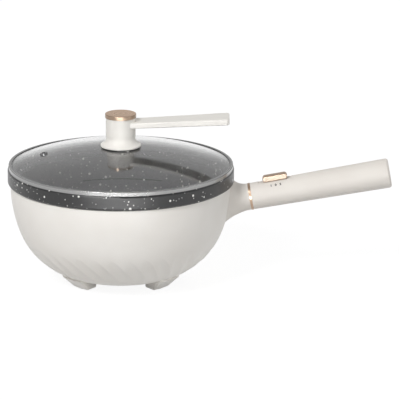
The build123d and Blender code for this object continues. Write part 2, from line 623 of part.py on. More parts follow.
def make_heat_shield():
    shield = rod(SHIELD_RADIUS, SHIELD_HEIGHT, SHIELD_TOP) - rod(SHIELD_CENTRE_RADIUS, 0, SHIELD_TOP + 1)
    stud_hole = rod(STUD_RADIUS + FIT_CLEARANCE, 0, SHIELD_TOP + 1)
    pin_hole = rod(HEATER_PIN_RADIUS + 2, 0, SHIELD_TOP + 1)
    shield -= [around(STUD_CIRCLE, a) * stud_hole for a in QUARTERS]
    return shield - [around(HEATER_RING_RADIUS, a) * pin_hole for a in heater_ends()]


def make_thermostat():
    cup = rod(THERMOSTAT_RADIUS, PLATE_BASE - THERMOSTAT_HEIGHT, PLATE_BASE)
    flange_low = PLATE_BASE - THERMOSTAT_HEIGHT / 3
    cup += rod(THERMOSTAT_RADIUS + 1.5, flange_low, PLATE_BASE)
    tab = block(0.8, 6, PLATE_BASE - THERMOSTAT_HEIGHT - 5, PLATE_BASE)
    tabs = [Pos(side * THERMOSTAT_RADIUS / 2, 0, 0) * tab for side in (-1, 1)]
    return cup + tabs


def strap_height():
    """Underside of the thermostat's flange, where the strap bears."""
    return PLATE_BASE - THERMOSTAT_HEIGHT / 3


def make_thermostat_strap():
    top = strap_height()
    strap = block(STRAP_LENGTH, STRAP_WIDTH, top - STRAP_THICKNESS, top)
    strap -= rod(THERMOSTAT_RADIUS + FIT_CLEARANCE, 0, top + 1)
    ends = block(STRAP_LENGTH, THERMOSTAT_RADIUS * 2 + 6, top - STRAP_THICKNESS, top)
    ring = rod(THERMOSTAT_RADIUS + 4, top - STRAP_THICKNESS, top) & ends
    strap += ring - rod(THERMOSTAT_RADIUS + FIT_CLEARANCE, 0, top + 1)
    hole = rod(SCREW_RADIUS + SHANK_CLEARANCE, 0, top + 1)
    return strap - [Pos(side * (STRAP_LENGTH / 2 - SCREW_HEAD_RADIUS), 0, 0) * hole for side in (-1, 1)]


def make_strap_screws():
    seat = strap_height() - STRAP_THICKNESS
    length = PLATE_BASE + HEATER_PLATE_THICKNESS / 2 - seat - FIT_CLEARANCE
    fastener = Pos(0, 0, seat) * screw(SCREW_RADIUS, length, SCREW_HEAD_RADIUS, SCREW_HEAD_HEIGHT)
    return [Pos(side * (STRAP_LENGTH / 2 - SCREW_HEAD_RADIUS), 0, 0) * fastener for side in (-1, 1)]


def make_thermal_fuse():
    fuse = Rot(0, 90, 0) * Cylinder(FUSE_RADIUS, FUSE_LENGTH)
    return Pos(0, FUSE_CIRCLE, PLATE_BASE - FUSE_RADIUS) * fuse


def make_terminal_block():
    body = block(BLOCK_LENGTH, BLOCK_WIDTH, COVER_TOP, COVER_TOP + BLOCK_HEIGHT)
    body = fillet(body.edges().filter_by(Axis.Z), 2)
    wells = [Pos(x, 0, 0) * rod(2.4, COVER_TOP + BLOCK_HEIGHT / 2, COVER_TOP + BLOCK_HEIGHT + 1)
             for x in (-BLOCK_LENGTH / 3, 0, BLOCK_LENGTH / 3)]
    return Pos(0, -BLOCK_OFFSET, 0) * (body - wells)


# Power inlet
def inlet_screw_place(side):
    """A screw place on the inlet's flange: up runs out of the housing's boss."""
    return Pos(side * INLET_SCREW_SPACING / 2, INLET_FACE, INLET_HEIGHT) * Rot(-90, 0, 0)


def make_power_inlet():
    flange_end = INLET_FACE + INLET_FLANGE_THICKNESS
    flange = inlet_block(INLET_FLANGE_WIDTH, INLET_FLANGE_HEIGHT, INLET_FACE, flange_end)
    flange = fillet(flange.edges().filter_by(Axis.Y), INLET_FLANGE_HEIGHT / 4)
    body = inlet_block(INLET_BODY_WIDTH, INLET_BODY_HEIGHT, INLET_FACE - INLET_BODY_DEPTH, INLET_FACE)
    floor = flange_end - INLET_RECESS_DEPTH
    recess = inlet_block(INLET_RECESS_WIDTH, INLET_RECESS_HEIGHT, floor, flange_end + 1)
    upper = [e for e in recess.edges().filter_by(Axis.Y) if e.center().Z > INLET_HEIGHT]
    recess = chamfer(upper, INLET_RECESS_CHAMFER)
    holes = [inlet_screw_place(side) * rod(SCREW_RADIUS + SHANK_CLEARANCE, -1, INLET_FLANGE_THICKNESS + 1)
             for side in (-1, 1)]
    slots = [inlet_pin_slot(x, z) for x, z in inlet_pin_places()]
    return flange + body - recess - holes - slots


def inlet_pin_places():
    """Line, neutral and earth, seen from the front of the inlet."""
    half = INLET_PIN_SPACING / 2
    return (-half, -INLET_PIN_OFFSET), (half, -INLET_PIN_OFFSET), (0, INLET_PIN_OFFSET)


def inlet_pin_bar(x, z, grow, near, far):
    bar = inlet_block(INLET_PIN_WIDTH + grow, INLET_PIN_HEIGHT + grow, near, far)
    return Pos(x, 0, z) * bar


def inlet_pin_slot(x, z):
    return inlet_pin_bar(x, z, 2 * SHANK_CLEARANCE, INLET_FACE - INLET_BODY_DEPTH - 1, INLET_FACE)


def make_inlet_pins():
    floor = INLET_FACE + INLET_FLANGE_THICKNESS - INLET_RECESS_DEPTH
    back = INLET_FACE - INLET_BODY_DEPTH - INLET_TAB_LENGTH
    pins = [inlet_pin_bar(x, z, 0, back, floor + INLET_PIN_LENGTH) for x, z in inlet_pin_places()]
    return [chamfer(p.faces().sort_by(Axis.Y)[-1].edges(), 0.5) for p in pins]


def make_inlet_screws():
    length = INLET_FLANGE_THICKNESS + HOUSING_WALL + 3
    fastener = Pos(0, 0, INLET_FLANGE_THICKNESS) * Rot(180, 0, 0) * screw(
        SCREW_RADIUS, length, SCREW_HEAD_RADIUS, SCREW_HEAD_HEIGHT
    )
    return [inlet_screw_place(side) * fastener for side in (-1, 1)]


# Long handle, drawn along X and then tilted into place
to_handle = Pos(HANDLE_X, 0, HANDLE_Z) * Rot(0, -HANDLE_TILT, 0)


def level_rod(radius, start, end):
    """A round bar along X."""
    return Pos(start, 0, 0) * Rot(0, 90, 0) * Cylinder(
        radius, end - start, align=(Align.CENTER, Align.CENTER, Align.MIN)
    )


def oval(along, half_width, half_height):
    """An upright oval section across the handle's axis."""
    return Plane((along, 0, 0), x_dir=(0, 1, 0), z_dir=(1, 0, 0)) * Ellipse(half_width, half_height)


def oval_bar(start, end, start_size, end_size):
    """A straight oval bar between two sections, each given as half width and half height."""
    return loft([oval(start, *start_size), oval(end, *end_size)], ruled=True)


def neck_form(inset):
    """The neck's trumpet shape, moved inwards by inset: its sections lean over to meet the housing's side."""
    sections = [oval(-RING_WIDTH / 2, NECK_HALF_WIDTH - inset, NECK_HALF_HEIGHT - inset)]
    for depth, flare in zip(NECK_FLARE_DEPTHS, NECK_FLARES):
        grow = flare - inset
        shape = oval(0, NECK_HALF_WIDTH + grow, NECK_HALF_HEIGHT + grow)
        sections.append(Pos(-depth * NECK_DEPTH, 0, 0) * Rot(0, NECK_LEAN * min(depth, 1), 0) * shape)
    return loft(sections)


def neck_screw_place(side):
    """A level screw place through the housing's side, above or below the neck's axis."""
    height = HANDLE_Z - HANDLE_REACH * tan(radians(HANDLE_TILT)) + side * NECK_SCREW_OFFSET
    wall = housing_radius(height - SCREW_HEAD_RADIUS, HOUSING_WALL) - SHANK_CLEARANCE
    return Pos(wall, 0, height) * Rot(0, 90, 0)


def make_handle_neck():
    start = -RING_WIDTH / 2
    outer = neck_form(0)
    neck = outer - neck_form(NECK_WALL)
    neck += outer & level_rod(NECK_HALF_WIDTH + NECK_HALF_HEIGHT, start - NECK_END_WALL, start)
    neck += level_rod(HANDLE_BOSS_RADIUS, start - HANDLE_BOLT_GRIP, start)
    neck -= Pos(0, CABLE_OFFSET, 0) * level_rod(CABLE_RADIUS + FIT_CLEARANCE, start - 6, start + 1)
    neck = to_handle * neck
    pegs = [neck_screw_place(side) * rod(NECK_SCREW_BOSS_RADIUS, 0, HOUSING_WALL + NECK_SCREW_BOSS_LENGTH)
            for side in (-1, 1)]
    rib_end = housing_radius(HANDLE_Z) + NECK_SCREW_BOSS_LENGTH
    pegs.append(Pos(rib_end / 2, 0, 0) * block(rib_end, NECK_RIB_THICKNESS, 0, RIM_TOP))
    neck += [peg & (to_handle * outer) for peg in pegs]
    neck -= bowl_solid(HOUSING_BASE_HEIGHT) + rod(HOUSING_TOP_RADIUS, HOUSING_TOP_HEIGHT - EPS, RIM_TOP)
    neck -= rod(RIM_RADIUS + FIT_CLEARANCE, RIM_BASE - FIT_CLEARANCE, RIM_TOP)
    bolt_hole = level_rod(HANDLE_BOLT_RADIUS + SHANK_CLEARANCE, start - HANDLE_BOLT_GRIP - 1, start + 1)
    neck -= to_handle * bolt_hole
    bite = rod(SCREW_RADIUS + SHANK_CLEARANCE, 0, HOUSING_WALL + SCREW_LENGTH + FIT_CLEARANCE)
    return neck - [neck_screw_place(side) * bite for side in (-1, 1)]


def make_neck_screws():
    length = HOUSING_WALL + SCREW_LENGTH - 1
    fastener = screw(SCREW_RADIUS, length, SCREW_HEAD_RADIUS, SCREW_HEAD_HEIGHT * 0.8)
    return [neck_screw_place(side) * fastener for side in (-1, 1)]


def make_handle_ring():
    size = NECK_HALF_WIDTH + RING_PROUD, NECK_HALF_HEIGHT + RING_PROUD
    ring = oval_bar(-RING_WIDTH / 2, RING_WIDTH / 2, size, size)
    ring = fillet(ring.edges(), RING_PROUD)
    return to_handle * (ring - level_rod(RING_BORE, -RING_WIDTH, RING_WIDTH))


def grip_size(along, inset=0.0):
    """Half width and half height of the grip at a distance from the ring, moved inwards by inset."""
    share = (along - GRIP_START) / GRIP_LENGTH
    width = NECK_HALF_WIDTH + share * (GRIP_END_HALF_WIDTH - NECK_HALF_WIDTH)
    height = NECK_HALF_HEIGHT + share * (GRIP_END_HALF_HEIGHT - NECK_HALF_HEIGHT)
    return width - inset, height - inset


GRIP_TOP = grip_size(SLIDER_ALONG)[1]
TRACK_FLOOR_TOP = GRIP_TOP - TRACK_DEPTH
TRACK_FLOOR_BASE = TRACK_FLOOR_TOP - TRACK_FLOOR
CARRIER_TOP = TRACK_FLOOR_BASE - SLIDE_CLEARANCE
CARRIER_BASE = CARRIER_TOP - CARRIER_THICKNESS
EAR_TOP = CARRIER_BASE - SWITCH_EAR_GAP


def pill(length, width, low, high):
    """An upright bar with round ends, centred under the slider."""
    bar = extrude(SlotOverall(length, width), high - low)
    return Pos(SLIDER_ALONG, 0, low) * bar


def make_handle_grip():
    inner_start = GRIP_START + GRIP_END_WALL
    grip = oval_bar(GRIP_START, GRIP_END, grip_size(GRIP_START), grip_size(GRIP_END))
    hollow = oval_bar(inner_start, GRIP_END + 1, grip_size(inner_start, GRIP_WALL),
                      grip_size(GRIP_END + 1, GRIP_WALL))
    bed = block(SWITCH_EAR_LENGTH + 4, 2 * NECK_HALF_WIDTH, TRACK_FLOOR_BASE, GRIP_TOP)
    posts = [Pos(SLIDER_ALONG + side * SWITCH_SCREW_SPACING / 2, 0, 0)
             * rod(SWITCH_POST_RADIUS, EAR_TOP, TRACK_FLOOR_BASE + EPS) for side in (-1, 1)]
    shell = grip - (hollow - Pos(SLIDER_ALONG, 0, 0) * bed) + posts
    track_length = SLIDER_LENGTH + 2 * (SLIDER_TRAVEL + SLIDE_CLEARANCE)
    track = block(track_length, SLIDER_WIDTH + 2 * SLIDE_CLEARANCE, TRACK_FLOOR_TOP, GRIP_TOP + 1)
    shell -= Pos(SLIDER_ALONG, 0, 0) * fillet(track.edges().filter_by(Axis.Z), SLIDER_EDGE_ROUNDING)
    slot_length = SLIDER_STEM_LENGTH + 2 * (SLIDER_TRAVEL + SLIDE_CLEARANCE)
    shell -= pill(slot_length, SLIDER_STEM_WIDTH + 2 * SLIDE_CLEARANCE, TRACK_FLOOR_BASE - 1, GRIP_TOP)
    pilot = rod(SCREW_RADIUS * 0.6 + SHANK_CLEARANCE, 0, TRACK_FLOOR_BASE + TRACK_FLOOR / 2)
    shell -= [Pos(SLIDER_ALONG + side * SWITCH_SCREW_SPACING / 2, 0, 0) * pilot for side in (-1, 1)]
    shell -= level_rod(HANDLE_BOLT_RADIUS + SHANK_CLEARANCE, 0, inner_start + 1)
    shell -= Pos(0, CABLE_OFFSET, 0) * level_rod(CABLE_RADIUS + FIT_CLEARANCE, 0, inner_start + 1)
    return to_handle * shell


def make_handle_end_cap():
    cap = oval_bar(GRIP_END, GRIP_END + CAP_LENGTH, grip_size(GRIP_END), grip_size(GRIP_END + CAP_LENGTH))
    cap = fillet(cap.edges().sort_by(Axis.X)[-1], CAP_ROUNDING)
    spigot_size = grip_size(GRIP_END - CAP_SPIGOT_LENGTH, GRIP_WALL + FIT_CLEARANCE)
    cap += oval_bar(GRIP_END - CAP_SPIGOT_LENGTH, GRIP_END, spigot_size, spigot_size)
    return to_handle * cap


def make_handle_bolt():
    seat = GRIP_START + GRIP_END_WALL
    tip = -RING_WIDTH / 2 - HANDLE_BOLT_GRIP + 1
    bolt = level_rod(HANDLE_BOLT_RADIUS, tip, seat)
    head = level_rod(HANDLE_BOLT_HEAD_RADIUS, seat, seat + HANDLE_BOLT_HEAD_HEIGHT)
    head = chamfer(head.edges().sort_by(Axis.X)[-1], 0.6)
    face = Plane((seat + HANDLE_BOLT_HEAD_HEIGHT, 0, 0), x_dir=(0, 1, 0), z_dir=(1, 0, 0))
    socket = extrude(face * RegularPolygon(2.9, 6), -HANDLE_BOLT_HEAD_HEIGHT / 2)
    return to_handle * (bolt + head - socket)


# Slide switch
def make_switch_slider():
    """A key with round ends and rolled edges, on a stem that passes down to the carrier."""
    base = TRACK_FLOOR_TOP + SLIDE_CLEARANCE
    top = GRIP_TOP + SLIDER_STANDS_OUT
    side = Plane.XZ * Pos(SLIDER_ALONG, (base + top) / 2) * SlotOverall(SLIDER_LENGTH, top - base)
    key = extrude(side, SLIDER_WIDTH / 2, both=True)
    rims = [e for e in key.edges() if abs(abs(e.center().Y) - SLIDER_WIDTH / 2) < EPS]
    key = fillet(rims, SLIDER_EDGE_ROUNDING)
    return to_handle * (key + pill(SLIDER_STEM_LENGTH, SLIDER_STEM_WIDTH, CARRIER_TOP, base))


def make_slider_carrier():
    plate = Pos(SLIDER_ALONG, 0, 0) * block(CARRIER_LENGTH, CARRIER_WIDTH, CARRIER_BASE, CARRIER_TOP)
    plate = fillet(plate.edges().filter_by(Axis.Z), 2)
    nub = block(CARRIER_NUB_LENGTH, CARRIER_NUB_WIDTH, CARRIER_BASE - CARRIER_NUB_DEPTH, CARRIER_BASE)
    return to_handle * (plate + Pos(SLIDER_ALONG, 0, 0) * nub)


def make_slide_switch():
    ears = block(SWITCH_EAR_LENGTH, SWITCH_WIDTH - 2, EAR_TOP - SWITCH_EAR_THICKNESS, EAR_TOP)
    body = block(SWITCH_LENGTH, SWITCH_WIDTH, EAR_TOP - SWITCH_HEIGHT, EAR_TOP) + ears
    slot_length = CARRIER_NUB_LENGTH + 2 * (SLIDER_TRAVEL + SLIDE_CLEARANCE)
    slot_floor = CARRIER_BASE - CARRIER_NUB_DEPTH - SLIDE_CLEARANCE
    body -= block(slot_length, CARRIER_NUB_WIDTH + 2 * SLIDE_CLEARANCE, slot_floor, EAR_TOP + 1)
    hole = rod(SCREW_RADIUS * 0.6 + SHANK_CLEARANCE, 0, EAR_TOP + 1)
    body -= [Pos(side * SWITCH_SCREW_SPACING / 2, 0, 0) * hole for side in (-1, 1)]
    return to_handle * Pos(SLIDER_ALONG, 0, 0) * body


def make_switch_screws():
    seat = EAR_TOP - SWITCH_EAR_THICKNESS
    length = TRACK_FLOOR_BASE + TRACK_FLOOR / 2 - seat - FIT_CLEARANCE
    fastener = screw(SCREW_RADIUS * 0.6, length, SCREW_HEAD_RADIUS * 0.6, SCREW_HEAD_HEIGHT * 0.7)
    places = [Pos(SLIDER_ALONG + side * SWITCH_SCREW_SPACING / 2, 0, seat) for side in (-1, 1)]
    return [to_handle * place * fastener for place in places]


# Leads inside the housing
def lead(points, bend, radius):
    """A round lead along straight runs joined by tangent bends."""
    path = FilletPolyline(*points, radius=bend)
    start = Plane(path @ 0, z_dir=path % 0)
    return sweep(start * Circle(radius), path)


def make_inlet_leads():
    """Live and neutral, from the back of the inlet down under the heat shield to the terminal block."""
    level = COVER_TOP + LEAD_HEIGHT
    tab = INLET_FACE - INLET_BODY_DEPTH - INLET_TAB_LENGTH - EPS
    pin_height = INLET_HEIGHT - INLET_PIN_OFFSET
    half = INLET_PIN_SPACING / 2
    return [lead([
        (side * half, tab, pin_height),
        (side * half, tab - 2 * LEAD_BEND, pin_height),
        (side * LEAD_SPREAD, SHIELD_RADIUS + 2 * LEAD_RADIUS, level),
        (side * LEAD_SPREAD, BLOCK_WIDTH / 2 - BLOCK_OFFSET + EPS, level),
    ], LEAD_BEND, LEAD_RADIUS) for side in (-1, 1)]


def make_heater_leads():
    """Two short links from the heater's pins to the terminal block."""
    level = COVER_TOP + LEAD_HEIGHT
    face = -BLOCK_OFFSET - BLOCK_WIDTH / 2 - EPS
    links = []
    for azimuth in heater_ends():
        x = HEATER_RING_RADIUS * cos(radians(azimuth))
        y = HEATER_RING_RADIUS * sin(radians(azimuth))
        pin_foot = HEATER_HEIGHT - HEATER_PIN_DROP - EPS
        links.append(lead([(x, y, pin_foot), (x, y, level), (x, face, level)], 2 * LEAD_RADIUS, LEAD_RADIUS))
    return links


def make_switch_cable():
    """From the terminal block up between pot and housing, through the neck to the switch in the grip."""
    level = COVER_TOP + LEAD_HEIGHT
    heights = [POT_BASE_HEIGHT + share * (HANDLE_Z - POT_BASE_HEIGHT) for share in (0.15, 0.4, 0.65)]
    climb = []
    for height in heights:
        middle = (pot_radius(height) + housing_radius(height, HOUSING_WALL)) / 2
        climb.append((sqrt(middle**2 - CABLE_OFFSET**2), CABLE_OFFSET, height))
    turn_height = HANDLE_Z - (HANDLE_REACH + HOUSING_WALL + POT_GAP / 2) * tan(radians(HANDLE_TILT))
    middle = (pot_radius(turn_height) + housing_radius(turn_height, HOUSING_WALL)) / 2
    turn = (sqrt(middle**2 - CABLE_OFFSET**2), CABLE_OFFSET, turn_height)
    grip_in = GRIP_START + GRIP_END_WALL + HANDLE_BOLT_HEAD_HEIGHT
    tail = SLIDER_ALONG - SWITCH_LENGTH / 2
    switch_middle = EAR_TOP - SWITCH_HEIGHT / 2
    ends = [
        (grip_in, CABLE_OFFSET, 0),
        (tail - 0.7 * CABLE_BEND, -SWITCH_WIDTH / 4, switch_middle),
        (tail - EPS, -SWITCH_WIDTH / 4, switch_middle),
    ]
    placed = [(to_handle * Pos(*point)).position for point in ends]
    points = [
        (BLOCK_LENGTH / 2 + EPS, -BLOCK_OFFSET, level),
        (FLANGE_INNER_RADIUS, -BLOCK_OFFSET, level),
        (STUD_CIRCLE + 2 * STUD_RADIUS, CABLE_OFFSET, level),
        *climb,
        turn,
        *placed,
    ]
    return lead(points, CABLE_BEND, CABLE_RADIUS)


# Lid
def make_lid_band():
    """A rolled strip: lip over the glass, outer wall, seat on the rim and a skirt inside the pot."""
    lip = BAND_RADIUS - BAND_LIP
    skirt = RIM_INNER_RADIUS - 2 * FIT_CLEARANCE
    foot = RIM_TOP - BAND_SKIRT_DEPTH
    band = turned_polygon(
        (lip, BAND_TOP), (BAND_RADIUS, BAND_TOP), (BAND_RADIUS, RIM_TOP), (skirt, RIM_TOP), (skirt, foot),
        (skirt - BAND_SHEET, foot), (skirt - BAND_SHEET, RIM_TOP + BAND_SHEET),
        (BAND_RADIUS - BAND_SHEET, RIM_TOP + BAND_SHEET), (BAND_RADIUS - BAND_SHEET, BAND_TOP - BAND_SHEET),
        (lip, BAND_TOP - BAND_SHEET),
    )
    corners = [e for e in band.edges().filter_by(GeomType.CIRCLE)
               if abs(e.radius - BAND_RADIUS) < EPS and e.center().Z > RIM_TOP + EPS]
    return fillet(corners, BAND_EDGE_ROUNDING)


def vent_place():
    """The vent's place on the glass: up runs straight out of the outer face."""
    tilt = degrees(asin(VENT_CIRCLE / DOME_RADIUS))
    return Rot(0, 0, VENT_AZIMUTH) * Pos(VENT_CIRCLE, 0, dome_height(VENT_CIRCLE)) * Rot(0, tilt, 0)


def make_lid_glass():
    under = -GLASS_THICKNESS
    edge_base = GLASS_EDGE_TOP - GLASS_THICKNESS
    glass = turned([
        Line((0, DOME_APEX + under), (0, DOME_APEX)),
        dome_edge(0, DOME_START),
        Polyline((DOME_START, GLASS_EDGE_TOP), (GLASS_RADIUS, GLASS_EDGE_TOP), (GLASS_RADIUS, edge_base),
                 (DOME_START, edge_base), (DOME_START, dome_height(DOME_START, under))),
        dome_edge(DOME_START, 0, under),
    ])
    glass -= rod(LID_SCREW_RADIUS + FIT_CLEARANCE, DOME_APEX - 2 * GLASS_THICKNESS, DOME_APEX + 1)
    return glass - vent_place() * rod(VENT_BORE_RADIUS + VENT_COLLAR_THICKNESS + SHANK_CLEARANCE, -10, 5)


def make_vent_grommet():
    barrel = VENT_BORE_RADIUS + VENT_COLLAR_THICKNESS
    low = -GLASS_THICKNESS - VENT_COLLAR_THICKNESS - SHANK_CLEARANCE
    high = VENT_COLLAR_THICKNESS + SHANK_CLEARANCE
    eyelet = rod(barrel, low, high)
    eyelet += rod(VENT_COLLAR_RADIUS, SHANK_CLEARANCE, high)
    eyelet += rod(VENT_COLLAR_RADIUS, low, -GLASS_THICKNESS - SHANK_CLEARANCE)
    circles = eyelet.edges().filter_by(GeomType.CIRCLE)
    rims = [e for e in circles if abs(e.radius - VENT_COLLAR_RADIUS) < EPS]
    outer = [e for e in rims if abs(e.center().Z - high) < EPS or abs(e.center().Z - low) < EPS]
    eyelet = fillet(outer, VENT_COLLAR_THICKNESS / 2)
    return vent_place() * (eyelet - rod(VENT_BORE_RADIUS, -10, 5))


def column_foot(offset=0.0):
    """Height of the column's underside at its lip, which follows the dome."""
    return dome_height(COLUMN_BASE_RADIUS, LID_GASKET_THICKNESS + offset)


def make_lid_handle():
    lip_top = column_foot() + COLUMN_LIP
    flare_top = lip_top + COLUMN_FLARE_HEIGHT
    bend = (COLUMN_RADIUS + (COLUMN_BASE_RADIUS - COLUMN_RADIUS) * 0.22, lip_top + COLUMN_FLARE_HEIGHT * 0.30)
    column = turned([
        dome_edge(0, COLUMN_BASE_RADIUS, LID_GASKET_THICKNESS),
        Line((COLUMN_BASE_RADIUS, column_foot()), (COLUMN_BASE_RADIUS, lip_top)),
        ThreePointArc((COLUMN_BASE_RADIUS, lip_top), bend, (COLUMN_RADIUS, flare_top)),
        Polyline((COLUMN_RADIUS, flare_top), (COLUMN_RADIUS, COLUMN_TOP), (0, COLUMN_TOP), (0, COLUMN_BASE)),
    ])
    circles = column.edges().filter_by(GeomType.CIRCLE)
    lip_edges = [e for e in circles if abs(e.radius - COLUMN_BASE_RADIUS) < EPS]
    column = fillet(lip_edges, COLUMN_LIP * 0.4)
    column += make_arm()
    hollow = rod(COLUMN_RADIUS - COLUMN_WALL, 0, COLUMN_TOP - COLUMN_ROOF)
    hollow -= rod(COLUMN_BOSS_RADIUS, 0, COLUMN_TOP)
    column -= hollow
    column -= rod(INSERT_RADIUS + SHANK_CLEARANCE, 0, COLUMN_BASE + INSERT_LENGTH)
    column -= rod(LID_SCREW_RADIUS + FIT_CLEARANCE, 0, COLUMN_BASE + LID_SCREW_LENGTH)
    spigot = DISC_SPIGOT_RADIUS + SHANK_CLEARANCE
    return column - rod(spigot, COLUMN_TOP - DISC_SPIGOT_DEPTH - SHANK_CLEARANCE, COLUMN_TOP + 1)


def make_arm():
    """A flat blade that widens and thickens to its tip and rises a little."""
    root = COLUMN_BOSS_RADIUS
    reach = ARM_REACH - root
    top = COLUMN_TOP - ARM_DROP
    tip_top = top + reach * tan(radians(ARM_TILT))
    plan = make_face(Polyline(
        (root, -ARM_ROOT_WIDTH / 2), (ARM_REACH, -ARM_TIP_WIDTH / 2),
        (ARM_REACH, ARM_TIP_WIDTH / 2), (root, ARM_ROOT_WIDTH / 2), close=True,
    ))
    plan = fillet(plan.vertices().group_by(Axis.X)[-1], ARM_CORNER_ROUNDING)
    side = make_face(Plane.XZ * Polyline(
        (root, top), (ARM_REACH + 1, tip_top), (ARM_REACH + 1, tip_top - ARM_TIP_THICKNESS),
        (root, top - ARM_ROOT_THICKNESS), close=True,
    ))
    arm = extrude(plan, COLUMN_TOP + reach) & extrude(side, ARM_TIP_WIDTH, both=True)
    long_edges = [e for e in arm.edges() if e.center().X > root + EPS]
    return fillet(long_edges, ARM_EDGE_ROUNDING)


def make_lid_handle_cap():
    disc = rod(DISC_RADIUS, COLUMN_TOP, COLUMN_TOP + DISC_THICKNESS)
    disc = fillet(disc.edges().group_by(Axis.Z)[-1], DISC_EDGE_ROUNDING)
    return disc + rod(DISC_SPIGOT_RADIUS, COLUMN_TOP - DISC_SPIGOT_DEPTH, COLUMN_TOP)


def make_lid_handle_gasket():
    bore = LID_SCREW_RADIUS + FIT_CLEARANCE
    edge = LID_GASKET_RADIUS
    top = LID_GASKET_THICKNESS
    return turned([
        dome_edge(bore, edge),
        Line((edge, dome_height(edge)), (edge, dome_height(edge, top))),
        dome_edge(edge, bore, top),
        Line((bore, dome_height(bore, top)), (bore, dome_height(bore))),
    ])


def make_lid_under_gasket():
    bore = LID_SCREW_RADIUS + FIT_CLEARANCE
    under = -GLASS_THICKNESS - FIT_CLEARANCE / 2
    low = DOME_APEX - GLASS_THICKNESS - 2 * LID_GASKET_THICKNESS
    return turned([
        dome_edge(bore, WASHER_RADIUS, under),
        Polyline((WASHER_RADIUS, dome_height(WASHER_RADIUS, under)), (WASHER_RADIUS, low), (bore, low),
                 (bore, dome_height(bore, under))),
    ])


def washer_base():
    return DOME_APEX - GLASS_THICKNESS - 2 * LID_GASKET_THICKNESS - WASHER_THICKNESS


def make_lid_washer():
    washer = rod(WASHER_RADIUS, washer_base(), washer_base() + WASHER_THICKNESS)
    washer = fillet(washer.edges().group_by(Axis.Z)[0], WASHER_THICKNESS / 3)
    return washer - rod(LID_SCREW_RADIUS + SHANK_CLEARANCE, 0, DOME_APEX)


def make_lid_handle_screw():
    length = COLUMN_BASE + LID_SCREW_LENGTH - washer_base() - 1
    return Pos(0, 0, washer_base()) * screw(
        LID_SCREW_RADIUS, length, LID_SCREW_HEAD_RADIUS, LID_SCREW_HEAD_HEIGHT
    )


def make_lid_handle_insert():
    sleeve = rod(INSERT_RADIUS, COLUMN_BASE, COLUMN_BASE + INSERT_LENGTH)
    return sleeve - rod(LID_SCREW_RADIUS + SHANK_CLEARANCE, 0, DOME_APEX + 3 * INSERT_LENGTH)


# Build every piece and write it out
PIECES = {
    "outer_housing": make_outer_housing,
    "base_cover": make_base_cover,
    "foot_pads": make_foot_pads,
    "foot_screws": make_foot_screws,
    "cover_screws": make_cover_screws,
    "inner_pot": make_inner_pot,
    "pot_gasket": make_pot_gasket,
    "pot_studs": make_pot_studs,
    "pot_screws": make_pot_screws,
    "heater_plate": make_heater_plate,
    "heating_element": make_heating_element,
    "heat_shield": make_heat_shield,
    "thermostat": make_thermostat,
    "thermostat_strap": make_thermostat_strap,
    "strap_screws": make_strap_screws,
    "thermal_fuse": make_thermal_fuse,
    "terminal_block": make_terminal_block,
    "power_inlet": make_power_inlet,
    "inlet_pins": make_inlet_pins,
    "inlet_screws": make_inlet_screws,
    "handle_neck": make_handle_neck,
    "neck_screws": make_neck_screws,
    "handle_ring": make_handle_ring,
    "handle_grip": make_handle_grip,
    "handle_end_cap": make_handle_end_cap,
    "handle_bolt": make_handle_bolt,
    "switch_slider": make_switch_slider,
    "slider_carrier": make_slider_carrier,
    "slide_switch": make_slide_switch,
    "switch_screws": make_switch_screws,
    "inlet_leads": make_inlet_leads,
    "heater_leads": make_heater_leads,
    "switch_cable": make_switch_cable,
    "lid_band": make_lid_band,
    "lid_glass": make_lid_glass,
    "vent_grommet": make_vent_grommet,
    "lid_handle": make_lid_handle,
    "lid_handle_cap": make_lid_handle_cap,
    "lid_handle_gasket": make_lid_handle_gasket,
    "lid_under_gasket": make_lid_under_gasket,
    "lid_washer": make_lid_washer,
    "lid_handle_screw": make_lid_handle_screw,
    "lid_handle_insert": make_lid_handle_insert,
}
for side, azimuth in FOOT_AZIMUTHS.items():
    PIECES[f"foot_{side}"] = lambda azimuth=azimuth: make_foot(azimuth)

os.makedirs("parts", exist_ok=True)
for name, make in PIECES.items():
    made = make()
    pieces = made if isinstance(made, list) else [made]
    solids = [Pos(-MIDDLE_X, 0, 0) * solid for piece in pieces for solid in piece.solids()]
    shape = solids[0] if len(solids) == 1 else Compound(children=solids)
    export_step(shape, f"parts/{name}.step")
    print(name, "solids", len(solids))
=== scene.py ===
# %% [markdown]
# An electric cooker, dressed for its picture.
# The solids come from a imported model that is already at its real size, so this lesson adds only what solids
# lack: finishes, light, a camera, printed marks and the small recesses of the screws. The model is loaded
# first.

# %% Load the model
import json
from math import cos, pi, radians, sin

import bmesh
import bpy
from mathutils import Matrix, Vector


